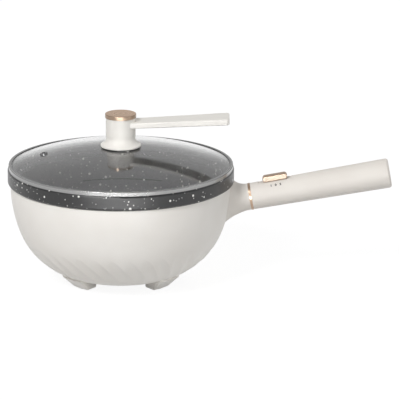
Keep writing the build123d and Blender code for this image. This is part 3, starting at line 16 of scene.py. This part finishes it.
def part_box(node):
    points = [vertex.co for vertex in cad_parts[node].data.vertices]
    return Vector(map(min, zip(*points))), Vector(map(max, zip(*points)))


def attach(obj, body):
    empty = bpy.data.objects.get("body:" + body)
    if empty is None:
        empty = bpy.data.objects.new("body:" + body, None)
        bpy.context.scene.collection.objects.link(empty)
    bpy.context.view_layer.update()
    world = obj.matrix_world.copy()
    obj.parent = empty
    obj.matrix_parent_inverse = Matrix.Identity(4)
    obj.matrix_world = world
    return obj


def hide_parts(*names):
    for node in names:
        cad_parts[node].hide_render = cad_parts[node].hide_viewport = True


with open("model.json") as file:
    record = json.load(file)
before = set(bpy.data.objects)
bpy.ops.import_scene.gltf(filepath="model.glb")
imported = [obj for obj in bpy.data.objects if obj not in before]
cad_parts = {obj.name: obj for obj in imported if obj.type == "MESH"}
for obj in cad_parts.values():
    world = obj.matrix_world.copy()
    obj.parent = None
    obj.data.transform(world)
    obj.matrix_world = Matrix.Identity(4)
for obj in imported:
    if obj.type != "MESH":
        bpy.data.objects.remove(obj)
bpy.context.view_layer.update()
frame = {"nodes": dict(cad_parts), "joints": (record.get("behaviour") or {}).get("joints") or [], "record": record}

scene = bpy.context.scene
nodes = frame["nodes"]

# %% [markdown]
# A product picture is taken from far away with a long lens, so that the round rim stays a clean oval and
# the handle doesn't swell towards the viewer. The camera stands straight in front, a little above the lid.
# Its lens follows from the width that the picture has to take in at the distance of the pot's middle.

# %% Camera
VIEW_WIDTH = 0.5133
VIEW_CENTRE = Vector((0.0002, 0.0, 0.1056))
CAMERA_ELEVATION = radians(15.3)
CAMERA_DISTANCE = 6.0
SENSOR_WIDTH = 36.0
FARTHEST_SEEN = 100

lens = bpy.data.cameras.new("front_camera")
lens.sensor_width = SENSOR_WIDTH
lens.lens = SENSOR_WIDTH * CAMERA_DISTANCE / VIEW_WIDTH
lens.clip_end = FARTHEST_SEEN
camera = bpy.data.objects.new("front_camera", lens)
scene.collection.objects.link(camera)
towards_camera = Vector((0, -cos(CAMERA_ELEVATION), sin(CAMERA_ELEVATION)))
camera.location = VIEW_CENTRE + towards_camera * CAMERA_DISTANCE
camera.rotation_euler = (pi / 2 - CAMERA_ELEVATION, 0, 0)
scene.camera = camera
scene.view_settings.view_transform = "Standard"
print("lens", round(lens.lens, 1), "mm")

# %% [markdown]
# Finishes are built from nodes. They could be put together by hand in the shader editor, but the cooker's
# many finishes share the same few steps, so short helpers take those up. Colours are written as they look
# on a screen, from 0 to 255, and turned into the linear light that the renderer works in.

# %% Colours and nodes
def screen_colour(red, green, blue):
    """A colour as it looks on a screen, in linear light."""
    def linear(value):
        share = value / 255
        return share / 12.92 if share <= 0.04045 else ((share + 0.055) / 1.055) ** 2.4

    return (linear(red), linear(green), linear(blue), 1.0)


def new_finish(name):
    """A fresh material: the material, its node tree and its surface shader."""
    finish = bpy.data.materials.new(name)
    finish.use_nodes = True
    return finish, finish.node_tree, finish.node_tree.nodes["Principled BSDF"]


def add_node(tree, kind, values=None, **options):
    """A node with its options set and its inputs filled with numbers, colours or other nodes' outputs."""
    node = tree.nodes.new(kind)
    for key, option in options.items():
        setattr(node, key, option)
    for key, value in (values or {}).items():
        if isinstance(value, bpy.types.NodeSocket):
            tree.links.new(value, node.inputs[key])
        else:
            node.inputs[key].default_value = value
    return node


print("a middle grey is", round(screen_colour(128, 128, 128)[0], 3), "in linear light")

# %% [markdown]
# No real surface is quite even. A soft noise, measured in metres on the piece itself, is the source of all
# the small changes here: stretched over a range it drives the gloss, turned into shades it drives the tone,
# and as a height it gives a fine bump. An image could do the same, but it would blur in a close view.

# %% Noise, shades and bump
def place_on_piece(tree):
    """The place on the piece in metres, which stays with the piece when it moves."""
    return add_node(tree, "ShaderNodeTexCoord").outputs["Object"]


def noise(tree, size, detail=2.0, place=None):
    """Soft noise with features of about the given size in metres."""
    values = {"Vector": place or place_on_piece(tree), "Scale": 1 / size, "Detail": detail}
    return add_node(tree, "ShaderNodeTexNoise", values).outputs["Fac"]


def spread(tree, value, low, high, start=0.3, end=0.7):
    """A value stretched over a range of numbers."""
    values = {"Value": value, "From Min": start, "From Max": end, "To Min": low, "To Max": high}
    return add_node(tree, "ShaderNodeMapRange", values).outputs["Result"]


def shades(tree, value, deep, pale, start=0.3, end=0.7):
    """A value turned into shades between a deep and a pale screen colour."""
    ramp = add_node(tree, "ShaderNodeValToRGB", {"Fac": value})
    for stop, position, colour in zip(ramp.color_ramp.elements, (start, end), (deep, pale)):
        stop.position = position
        stop.color = screen_colour(*colour)
    return ramp.outputs["Color"]


def fine_bump(tree, shader, height, depth, strength=0.3):
    """A bump of the given depth in metres on the shader's normal."""
    bump = add_node(tree, "ShaderNodeBump", {"Height": height, "Distance": depth, "Strength": strength})
    tree.links.new(bump.outputs["Normal"], shader.inputs["Normal"])


print("noise, shades and bump ready")

# %% [markdown]
# Most of the cooker is moulded plastic. A real moulding is never one flat colour: the pigment drifts a
# little over the width of a hand, the gloss changes in small patches, and the mould leaves a fine skin. One
# function makes all the plastics and rubbers, and each gets its own colours, gloss and grain.

# %% Moulded plastic
PIGMENT_DRIFT = 0.06
GLOSS_PATCH = 0.004


def moulded(name, deep, pale, gloss_low, gloss_high, grain, grain_depth):
    """A moulded plastic or rubber: drifting pigment, patchy gloss and the mould's fine skin."""
    finish, tree, shader = new_finish(name)
    tree.links.new(shades(tree, noise(tree, PIGMENT_DRIFT), deep, pale), shader.inputs["Base Color"])
    patches = noise(tree, GLOSS_PATCH, detail=4)
    tree.links.new(spread(tree, patches, gloss_low, gloss_high), shader.inputs["Roughness"])
    fine_bump(tree, shader, noise(tree, grain, detail=3), grain_depth)
    return finish


cream_shell = moulded("cream_shell_plastic", (232, 228, 222), (237, 234, 229), 0.42, 0.5, 0.0009, 0.00004)
cream_handle = moulded("cream_handle_plastic", (220, 214, 207), (226, 221, 214), 0.5, 0.58, 0.0009, 0.00004)
cream_lid = moulded("cream_lid_plastic", (232, 229, 223), (237, 234, 228), 0.48, 0.56, 0.0009, 0.00003)
grey_cover = moulded("grey_cover_plastic", (150, 148, 145), (166, 164, 161), 0.5, 0.62, 0.0006, 0.00008)
black_inlet = moulded("black_inlet_plastic", (24, 24, 25), (36, 36, 37), 0.42, 0.55, 0.0006, 0.00008)
grey_silicone = moulded("grey_silicone", (70, 70, 69), (88, 88, 87), 0.55, 0.7, 0.001, 0.00005)
pad_rubber = moulded("foot_pad_rubber", (58, 58, 58), (76, 75, 74), 0.65, 0.8, 0.0008, 0.0001)
lead_sleeve = moulded("lead_sleeve", (120, 40, 34), (140, 52, 44), 0.45, 0.6, 0.001, 0.00005)
white_ceramic = moulded("white_ceramic", (214, 210, 198), (228, 225, 214), 0.5, 0.65, 0.0012, 0.00006)
print("moulded finishes", len(bpy.data.materials))

# %% [markdown]
# Two things on the pot depend on the place: the coat is painted paler inside, as painted light that stands
# in for a brighter light inside the pot, and a thin dark level line runs along the back wall. A picture
# wrapped round the pot could show both, but sums on the place and on the way that the surface faces stay
# sharp at any size. The lid's band lies on the pot's axis, so its box gives that axis.

# %% Places on the pot
LEVEL_HEIGHT = 0.0995
LEVEL_HALF_LENGTH = 0.052
LEVEL_HALF_WIDTH = 0.0007

pot_axis = sum(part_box("lid_band"), Vector()) / 2


def calculate(tree, operation, *values):
    """The result of one sum on numbers or other nodes' outputs."""
    return add_node(tree, "ShaderNodeMath", dict(enumerate(values)), operation=operation).outputs[0]


def faces_along(tree, direction):
    """How far the surface faces along a direction, below 0 where it faces away."""
    values = {0: add_node(tree, "ShaderNodeTexCoord").outputs["Normal"], 1: direction}
    return add_node(tree, "ShaderNodeVectorMath", values, operation="DOT_PRODUCT").outputs["Value"]


def from_pot_axis(tree):
    """The place on the piece, counted from the pot's axis."""
    values = {0: place_on_piece(tree), 1: (pot_axis.x, pot_axis.y, 0)}
    return add_node(tree, "ShaderNodeVectorMath", values, operation="SUBTRACT").outputs[0]


def faces_inward(tree):
    """1 where the surface faces the pot's axis and 0 on the outside."""
    return calculate(tree, "LESS_THAN", faces_along(tree, from_pot_axis(tree)), 0.0)


def level_line(tree):
    """1 on the short level line on the back wall and 0 elsewhere."""
    place = add_node(tree, "ShaderNodeSeparateXYZ", {0: from_pot_axis(tree)}).outputs
    at_height = calculate(tree, "COMPARE", place["Z"], LEVEL_HEIGHT, LEVEL_HALF_WIDTH)
    near_middle = calculate(tree, "COMPARE", place["X"], 0.0, LEVEL_HALF_LENGTH)
    at_back = calculate(tree, "GREATER_THAN", place["Y"], 0.0)
    return calculate(tree, "MULTIPLY", calculate(tree, "MULTIPLY", at_height, near_middle), at_back)


print("pot axis at", round(pot_axis.x, 4), round(pot_axis.y, 4))

# %% [markdown]
# The pot's dark non-stick coat has pale specks, like polished granite. Dots could be strewn over the
# surface, but then all of them would be alike. Here each speck is the small ball round one point of a cloud
# of points that fills space, where the surface happens to cut it, so that sizes differ and no two specks
# line up. A slow noise makes them crowd in some places and thin out in others.

# %% Granite coat
COAT_OUTSIDE = ((16, 16, 17), (28, 28, 29))
# Painted light: the inside of the coat is painted paler, standing in for a brighter light inside the pot.
COAT_INSIDE_PAINTED_LIGHT = ((96, 96, 97), (114, 114, 115))
LEVEL_COLOUR = (22, 22, 23)
SPECK_COLOUR = (232, 230, 226)
SPECK_SIZES = ((0.0072, 0.002), (0.0036, 0.0008))
CROWDING_SIZE = 0.04
COAT_SHEEN = 0.65


def specks(tree, spacing, largest):
    """Where the surface cuts small balls strewn in space: 1 in a speck and 0 beside it."""
    values = {"Vector": place_on_piece(tree), "Scale": 1 / spacing}
    cells = add_node(tree, "ShaderNodeTexVoronoi", values)
    chance = add_node(tree, "ShaderNodeSeparateColor", {"Color": cells.outputs["Color"]}).outputs["Red"]
    size = spread(tree, chance, 0.0, largest / spacing, start=0.25, end=1.0)
    crowding = spread(tree, noise(tree, CROWDING_SIZE), 0.7, 1.1, start=0.35, end=0.65)
    radius = calculate(tree, "MULTIPLY", size, crowding)
    return calculate(tree, "LESS_THAN", cells.outputs["Distance"], radius)


def lay_over(tree, mask, under, over):
    """One colour laid over another where the mask is 1."""
    mix = add_node(tree, "ShaderNodeMix", {0: mask}, data_type="RGBA")
    below, above = [socket for socket in mix.inputs if socket.type == "RGBA"]
    tree.links.new(under, below)
    if isinstance(over, bpy.types.NodeSocket):
        tree.links.new(over, above)
    else:
        above.default_value = screen_colour(*over)
    return next(socket for socket in mix.outputs if socket.type == "RGBA")


def granite_coat(name):
    """Dark coat with large and small pale specks, painted paler inside as painted light, with a level line."""
    finish, tree, shader = new_finish(name)
    grain = noise(tree, 0.0025, detail=5)
    # The paler inside is painted light, laid over the outside colour where the surface faces the pot's axis.
    coat = lay_over(
        tree, faces_inward(tree), shades(tree, grain, *COAT_OUTSIDE), shades(tree, grain, *COAT_INSIDE_PAINTED_LIGHT)
    )
    coat = lay_over(tree, level_line(tree), coat, LEVEL_COLOUR)
    for spacing, largest in SPECK_SIZES:
        coat = lay_over(tree, specks(tree, spacing, largest), coat, SPECK_COLOUR)
    tree.links.new(coat, shader.inputs["Base Color"])
    shader.inputs["Specular IOR Level"].default_value = COAT_SHEEN
    tree.links.new(spread(tree, noise(tree, 0.003, detail=4), 0.3, 0.4), shader.inputs["Roughness"])
    fine_bump(tree, shader, noise(tree, 0.0011, detail=3), 0.00008)
    return finish


granite = granite_coat("granite_coat")
print("granite coat with", len(granite.node_tree.nodes), "nodes")

# %% [markdown]
# Metal shows its making. The lid's strip was rolled and polished, so its faint lines run round the rim. The
# disc on the knob was turned, so its lines are rings, and the ring and the slider are satin anodised. All
# of these are the same finish with another pattern: a noise that changes with the distance from the pot's
# axis and with height, and hardly at all along the line of the polish. On the disc and the slider, the faces
# that mirror the gloss strip have a darker second tone, which is painted shade for the dark surroundings that
# those faces would mirror away from the strip's highlight.

# %% Metals
POLISH_DEPTH = 0.00001
POLISH_STRENGTH = 0.03
SECOND_TONE_FADE = (0.88, 0.97)


def turned_lines(tree, size):
    """Noise in rings round the pot's axis, fine across the rings and unbroken along them."""
    place = add_node(tree, "ShaderNodeSeparateXYZ", {0: from_pot_axis(tree)}).outputs
    flat = add_node(tree, "ShaderNodeCombineXYZ", {"X": place["X"], "Y": place["Y"]}).outputs[0]
    radius = add_node(tree, "ShaderNodeVectorMath", {0: flat}, operation="LENGTH").outputs["Value"]
    rings = add_node(tree, "ShaderNodeCombineXYZ", {"X": radius, "Y": place["Z"]}).outputs[0]
    return noise(tree, size, detail=3, place=rings)


def metal(name, deep, pale, gloss_low, gloss_high, lines=None, grain=0.0008, second=None):
    """A metal whose gloss and tone follow the lines of its polish.

    A second tone of painted shade is given as an axis, 1 for the faces along that axis or 0 for the others, and a
    colour.
    """
    finish, tree, shader = new_finish(name)
    shader.inputs["Metallic"].default_value = 1.0
    pattern = turned_lines(tree, lines) if lines else noise(tree, grain, detail=4)
    tone = shades(tree, pattern, deep, pale)
    # The second tone is painted shade: a darker colour on the faces that mirror the gloss strip.
    if second:
        axis, share_along, colour = second
        facing = calculate(tree, "ABSOLUTE", faces_along(tree, axis))
        mask = spread(tree, facing, 1 - share_along, share_along, *SECOND_TONE_FADE)
        tone = lay_over(tree, mask, tone, colour)
    tree.links.new(tone, shader.inputs["Base Color"])
    tree.links.new(spread(tree, pattern, gloss_low, gloss_high), shader.inputs["Roughness"])
    fine_bump(tree, shader, pattern, POLISH_DEPTH, strength=POLISH_STRENGTH)
    return finish


# Painted shade: these faces get a darker tone than the rest of their metal, standing in for dark surroundings
# mirrored in them.
disc_side_painted_shade = ((0, 0, 1), 0, (160, 140, 122))
slider_front_painted_shade = ((0, 1, 0), 1, (166, 151, 136))
turned_rose = metal(
    "turned_rose_gold", (204, 168, 136), (216, 182, 151), 0.24, 0.32, lines=0.0005, second=disc_side_painted_shade
)
slider_rose_painted_shade = metal("slider_rose_gold_painted_shade", (172, 143, 118), (186, 158, 133), 0.3, 0.34, second=slider_front_painted_shade)
satin_rose = metal("satin_rose_gold", (172, 147, 127), (186, 162, 141), 0.28, 0.32, grain=0.0003)
rolled_steel = metal("rolled_steel", (146, 146, 146), (162, 162, 161), 0.24, 0.28, lines=0.0006)
# The vent's eyelet is steel, darkened as painted shade for the dark hole of the vent.
eyelet_painted_shade = metal("eyelet_steel_painted_shade", (96, 96, 97), (120, 120, 121), 0.2, 0.3)
bare_aluminium = metal("cast_aluminium", (176, 176, 177), (192, 192, 193), 0.4, 0.55, grain=0.0015)
zinc_steel = metal("zinc_plated_steel", (168, 168, 168), (190, 190, 190), 0.25, 0.4)
heater_steel = metal("heater_sheath_steel", (96, 90, 84), (124, 117, 110), 0.4, 0.6, grain=0.002)
bright_brass = metal("bright_brass", (196, 160, 92), (212, 178, 108), 0.2, 0.32)
print("finishes so far", len(bpy.data.materials))

# %% [markdown]
# The lid is clear toughened glass, and at this low angle it mirrors the white room more and more towards
# its far side. That comes out by itself when the glass is a true solid with the right index of refraction,
# so the finish stays simple: full transmission, a trace of grey, and faint smudges in the gloss.

# %% Glass
GLASS_CLEARNESS = 0.985
GLASS_INDEX = 1.5
SMUDGE_SIZE = 0.02


def clear_glass(name):
    """Toughened glass with faint smudges."""
    finish, tree, shader = new_finish(name)
    shader.inputs["Base Color"].default_value = (GLASS_CLEARNESS, GLASS_CLEARNESS, GLASS_CLEARNESS, 1)
    shader.inputs["Transmission Weight"].default_value = 1.0
    shader.inputs["IOR"].default_value = GLASS_INDEX
    smudges = noise(tree, SMUDGE_SIZE, detail=4)
    tree.links.new(spread(tree, smudges, 0.0, 0.02), shader.inputs["Roughness"])
    return finish


toughened_glass = clear_glass("toughened_glass")
print("glass ready, index", GLASS_INDEX)

# %% [markdown]
# The record says which slot each piece takes its finish from, so the finishes are handed out by slot. The
# lid's plastic is a shade paler than the long handle's, the disc, the slider and the ring of the handle are
# worked in different ways, the disc and the slider with painted shade on some faces, and the vent's steel
# eyelet is darkened as painted shade for the vent's dark hole, so a few pieces get a finish of their own.

# %% Hand out the finishes
finish_of_slot = {
    "cream_shell": cream_shell,
    "cream_handle": cream_handle,
    "granite_pot": granite,
    "rose_gold": satin_rose,
    "polished_steel": rolled_steel,
    "clear_glass": toughened_glass,
    "silicone": grey_silicone,
    "pad_rubber": pad_rubber,
    "grey_plastic": grey_cover,
    "black_plastic": black_inlet,
    "bare_aluminium": bare_aluminium,
    "steel": zinc_steel,
    "heater_steel": heater_steel,
    "ceramic": white_ceramic,
    "brass": bright_brass,
    "lead_sleeve": lead_sleeve,
}
finish_of_piece = {
    "lid_handle": cream_lid,
    "lid_handle_cap": turned_rose,
    "switch_slider": slider_rose_painted_shade,
    "vent_grommet": eyelet_painted_shade,
}
slot_of_piece = {row["node"]: row["material_slot"] for row in frame["record"]["subparts"]}


def give_finish(piece, finish):
    """Puts one finish on the whole of a piece."""
    piece.data.materials.clear()
    piece.data.materials.append(finish)


for name, piece in nodes.items():
    give_finish(piece, finish_of_piece.get(name, finish_of_slot[slot_of_piece[name]]))
print("finished", len(nodes), "pieces in", len(finish_of_slot) + len(finish_of_piece), "finishes")

# %% [markdown]
# The slide switch has three positions, and each has a small printed figure on the grip below the slider.
# The slider's own joint gives the direction of the row and the step from one figure to the next. Seen along
# the handle, the figures stand part of the way round from the top of the grip towards the viewer.

# %% Where the switch figures stand
FIGURE_TURN = radians(43)
FIGURE_STANDOFF = 0.0175

slide = next(joint for joint in frame["joints"] if joint["name"] == "switch_slide")
along_handle = Vector(slide["axis"])
switch_step = slide["range_m"][1]
to_viewer = Vector((0, -1, 0))
grip_up = to_viewer.cross(along_handle)
outward = grip_up * cos(FIGURE_TURN) + to_viewer * sin(FIGURE_TURN)
figure_up = grip_up * sin(FIGURE_TURN) - to_viewer * cos(FIGURE_TURN)
ring_middle = sum(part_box("handle_ring"), Vector()) / 2
slider_middle = sum(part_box("switch_slider"), Vector()) / 2
slider_reach = (slider_middle - ring_middle).dot(along_handle)
print("slider", round(slider_reach, 4), "past the ring, step", switch_step)

# %% [markdown]
# Print has hardly any thickness. A picture could be laid on the grip, but a shape keeps its edge in any
# view, so each figure is a text outline, turned into a mesh of a hair's depth, laid near the grip and then
# drawn down onto it point by point.

# %% Print the switch figures
FIGURES = ("1", "0", "2")
FIGURE_HEIGHT = 0.003
DIGIT_SHARE = 0.7
FIGURE_BOLDNESS = 0.0002
FIGURE_DEPTH = 0.00008

ink = moulded("printed_ink", (38, 35, 32), (50, 47, 43), 0.5, 0.6, 0.001, 0.00001)


def figure_mesh(text):
    """The flat mesh of one figure, about its middle."""
    outline = bpy.data.curves.new("figure_outline", "FONT")
    outline.body = text
    outline.size = FIGURE_HEIGHT / DIGIT_SHARE
    outline.align_x = "CENTER"
    outline.align_y = "CENTER"
    outline.offset = FIGURE_BOLDNESS
    outline.extrude = FIGURE_DEPTH / 2
    source = bpy.data.objects.new("figure_outline", outline)
    scene.collection.objects.link(source)
    bpy.context.view_layer.update()
    mesh = bpy.data.meshes.new_from_object(source.evaluated_get(bpy.context.evaluated_depsgraph_get()))
    bpy.data.objects.remove(source)
    return mesh


def printed_figure(text, shift):
    """One figure printed on the grip at a distance along the handle from the slider's middle."""
    mesh = figure_mesh(text)
    middle = ring_middle + along_handle * (slider_reach + shift) + outward * FIGURE_STANDOFF
    for vertex in mesh.vertices:
        flat = middle + along_handle * vertex.co.x + figure_up * vertex.co.y
        _, surface, normal, _ = nodes["handle_grip"].closest_point_on_mesh(flat)
        vertex.co = surface + normal * (FIGURE_DEPTH / 2 + vertex.co.z)
    piece = bpy.data.objects.new(f"switch_figure_{text}", mesh)
    scene.collection.objects.link(piece)
    give_finish(piece, ink)
    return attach(piece, "cooker_body")


for text, place in zip(FIGURES, (-1, 0, 1)):
    print(printed_figure(text, place * switch_step).name)

# %% [markdown]
# The screws under the base, at the power inlet and inside the lid have cross recesses. A bump in the finish
# would vanish at the edge, so each recess is cut. The screws of one kind are one mesh with several lumps:
# the lumps are found first, by walking along edges from point to point, and each gives the place and the
# size of its cross.

# %% Find each screw and its cross
RECESS_LENGTH = 0.62
RECESS_WIDTH = 0.13
RECESS_DEPTH = 0.0011


def lumps_of(mesh):
    """The separate lumps of a mesh, each as a list of its points."""
    work = bmesh.new()
    work.from_mesh(mesh)
    left = set(work.verts)
    lumps = []
    while left:
        seed = left.pop()
        lump, edge = [seed], [seed]
        while edge:
            vertex = edge.pop()
            for link in vertex.link_edges:
                other = link.other_vert(vertex)
                if other in left:
                    left.discard(other)
                    lump.append(other)
                    edge.append(other)
        lumps.append([vertex.co.copy() for vertex in lump])
    work.free()
    return lumps


def cross_cutter(points, axis):
    """Two crossing bars sunk into a screw's head, which faces along the axis."""
    top = max(point.dot(axis) for point in points)
    head = [point for point in points if point.dot(axis) > top - RECESS_DEPTH]
    middle = sum(points, Vector()) / len(points)
    middle += axis * (top - middle.dot(axis))
    radius = max((point - middle - axis * (point - middle).dot(axis)).length for point in head)
    turn = axis.to_track_quat("Z", "Y").to_matrix().to_4x4()
    size = Matrix.Diagonal((2 * radius * RECESS_LENGTH, 2 * radius * RECESS_WIDTH, 2 * RECESS_DEPTH, 1))
    cutter = bmesh.new()
    for quarter in (0, pi / 2):
        place = Matrix.Translation(middle) @ turn @ Matrix.Rotation(quarter, 4, "Z") @ size
        bmesh.ops.create_cube(cutter, size=1, matrix=place)
    return cutter


print("screws under the base", len(nodes["cover_screws"].data.vertices), "points")

# %% [markdown]
# The solids of the model stay as they are, so the crosses are cut out of a copy of each kind of screw,
# which stands in for it. Its points are welded first, because the cut needs a closed mesh.

# %% Cut the cross recesses
WELD_DISTANCE = 1e-6
SHARP_ANGLE = radians(30)


def welded_copy(mesh):
    """A copy of a mesh with its doubled points joined."""
    copy = mesh.copy()
    work = bmesh.new()
    work.from_mesh(copy)
    bmesh.ops.remove_doubles(work, verts=work.verts, dist=WELD_DISTANCE)
    work.to_mesh(copy)
    work.free()
    return copy


def cut_away(piece, cutter):
    """Cuts a shape out of a piece and keeps the result as the piece's mesh."""
    tool_mesh = bpy.data.meshes.new("recess_tool")
    cutter.to_mesh(tool_mesh)
    cutter.free()
    tool = bpy.data.objects.new("recess_tool", tool_mesh)
    scene.collection.objects.link(tool)
    cut = piece.modifiers.new("recess", "BOOLEAN")
    cut.object = tool
    cut.use_self = True
    bpy.context.view_layer.update()
    done = bpy.data.meshes.new_from_object(piece.evaluated_get(bpy.context.evaluated_depsgraph_get()))
    piece.modifiers.clear()
    piece.data = done
    bpy.data.objects.remove(tool)


def cut_recesses(name, axis, body):
    """A copy of a node's screws with cross recesses, which stands in for the node."""
    mesh = welded_copy(nodes[name].data)
    piece = bpy.data.objects.new(f"{name}_recessed", mesh)
    scene.collection.objects.link(piece)
    for points in lumps_of(mesh):
        cut_away(piece, cross_cutter(points, axis))
    piece.data.shade_smooth()
    piece.data.set_sharp_from_angle(angle=SHARP_ANGLE)
    give_finish(piece, zinc_steel)
    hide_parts(name)
    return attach(piece, body)


down = Vector((0, 0, -1))
back = Vector((0, 1, 0))
for screws, axis, body in (
    ("cover_screws", down, "cooker_body"),
    ("pot_screws", down, "cooker_body"),
    ("inlet_screws", back, "cooker_body"),
    ("lid_handle_screw", down, "lid"),
):
    made = cut_recesses(screws, axis, body)
    print(made.name, len(made.data.polygons), "faces")

# %% [markdown]
# The room is a plain white one. Light Path tells apart the rays of the eye, of mirrors and through glass,
# which should see plain white, and the light that falls on the cooker, which stays at an even level. What
# mirrors see of the room is white where floor and wall meet and greyer higher up, as under a ceiling, and
# the glass of the lid shows that change.

# %% White room
WHITE = (1, 1, 1, 1)
ROOM_LIGHT = 0.36
UPPER_ROOM = 0.62
WALL_FADE = (0.03, 0.22)


def seen_directly(tree):
    """1 for the rays of the eye, of mirrors and through glass, and 0 for the light that falls on things."""
    path = add_node(tree, "ShaderNodeLightPath").outputs
    eye_or_mirror = calculate(tree, "MAXIMUM", path["Is Camera Ray"], path["Is Glossy Ray"])
    return calculate(tree, "MAXIMUM", eye_or_mirror, path["Is Transmission Ray"])


room = bpy.data.worlds.new("white_room")
room.use_nodes = True
room_tree = room.node_tree
room_tree.nodes.clear()
upward = add_node(room_tree, "ShaderNodeTexCoord").outputs["Generated"]
height = add_node(room_tree, "ShaderNodeSeparateXYZ", {0: upward}).outputs["Z"]
mirrored = spread(room_tree, height, 1.0, UPPER_ROOM, *WALL_FADE)
eye = add_node(room_tree, "ShaderNodeLightPath").outputs["Is Camera Ray"]
wall = calculate(room_tree, "MAXIMUM", mirrored, eye)
glow = add_node(room_tree, "ShaderNodeBackground", {"Color": WHITE, "Strength": ROOM_LIGHT})
shown = add_node(room_tree, "ShaderNodeBackground", {"Color": WHITE, "Strength": wall})
choice = {0: seen_directly(room_tree), 1: glow.outputs[0], 2: shown.outputs[0]}
sky = add_node(room_tree, "ShaderNodeMixShader", choice)
add_node(room_tree, "ShaderNodeOutputWorld", {"Surface": sky.outputs[0]})
scene.world = room
print("room light", ROOM_LIGHT)

# %% [markdown]
# The table top is a pale floor that runs out of sight. For the eye it is mostly plain white, as the room
# is, and the rest of it is real paint, which takes the cooker's soft shadow. For the light that falls on
# the cooker it is all paint, and throws some of that light back up under the bowl.

# %% Floor
FLOOR_SIDE = 40.0
FLOOR_DROP = 0.0003
FLOOR_PAINT = (0.61, 0.61, 0.61, 1)
FLOOR_WHITE = 1.18
FLOOR_SHADOW = 0.22

floor_finish, floor_tree, _ = new_finish("pale_floor")
floor_tree.nodes.clear()
paint = add_node(floor_tree, "ShaderNodeBsdfDiffuse", {"Color": FLOOR_PAINT})
shine = add_node(floor_tree, "ShaderNodeEmission", {"Color": WHITE, "Strength": FLOOR_WHITE})
share = calculate(floor_tree, "MULTIPLY", seen_directly(floor_tree), 1 - FLOOR_SHADOW)
choice = {0: share, 1: paint.outputs[0], 2: shine.outputs[0]}
floor_mix = add_node(floor_tree, "ShaderNodeMixShader", choice)
add_node(floor_tree, "ShaderNodeOutputMaterial", {"Surface": floor_mix.outputs[0]})

half = FLOOR_SIDE / 2
corners = [(x * half, y * half, -FLOOR_DROP) for x, y in ((-1, -1), (1, -1), (1, 1), (-1, 1))]
floor_mesh = bpy.data.meshes.new("floor")
floor_mesh.from_pydata(corners, [], [(0, 1, 2, 3)])
floor = bpy.data.objects.new("floor", floor_mesh)
scene.collection.objects.link(floor)
give_finish(floor, floor_finish)
print("floor side", FLOOR_SIDE, "m")

# %% [markdown]
# One large soft lamp stands high in front on the left, so the bowl turns from pale on that side to a soft
# grey on the other and the flutes near its foot stand out. Weaker ones stand low in front, on the right and
# behind. A long low strip near the table's edge lights nothing by itself: only gloss throws it back, so the
# upright walls of metal and of the dark coat get a bright middle that fades towards both sides. The rear
# lamp is kept out of the gloss, or the glass would mirror it.

# %% Lamps
def soft_lamp(name, place, width, height, power):
    """An oblong soft lamp that faces the cooker."""
    light = bpy.data.lights.new(name, "AREA")
    light.shape = "RECTANGLE"
    light.size = width
    light.size_y = height
    light.energy = power
    lamp = bpy.data.objects.new(name, light)
    lamp.location = place
    lamp.rotation_euler = (VIEW_CENTRE - Vector(place)).to_track_quat("-Z", "Y").to_euler()
    scene.collection.objects.link(lamp)
    return lamp


soft_lamp("high_lamp", (-1.3, -2.2, 2.2), 0.8, 0.8, 65)
soft_lamp("low_lamp", (-0.1, -3.2, 0.12), 0.5, 0.22, 10)
soft_lamp("side_lamp", (2.8, -1.3, 0.6), 0.9, 0.9, 12)
rear_lamp = soft_lamp("rear_lamp", (0.8, 2.4, 2.0), 1.2, 1.2, 18)
rear_lamp.visible_glossy = False
rear_lamp.visible_transmission = False
gloss_strip = soft_lamp("gloss_strip", (-0.1, -1.6, 0.1), 1.8, 0.16, 22)
gloss_strip.visible_diffuse = False
print("lamps", len(bpy.data.lights))
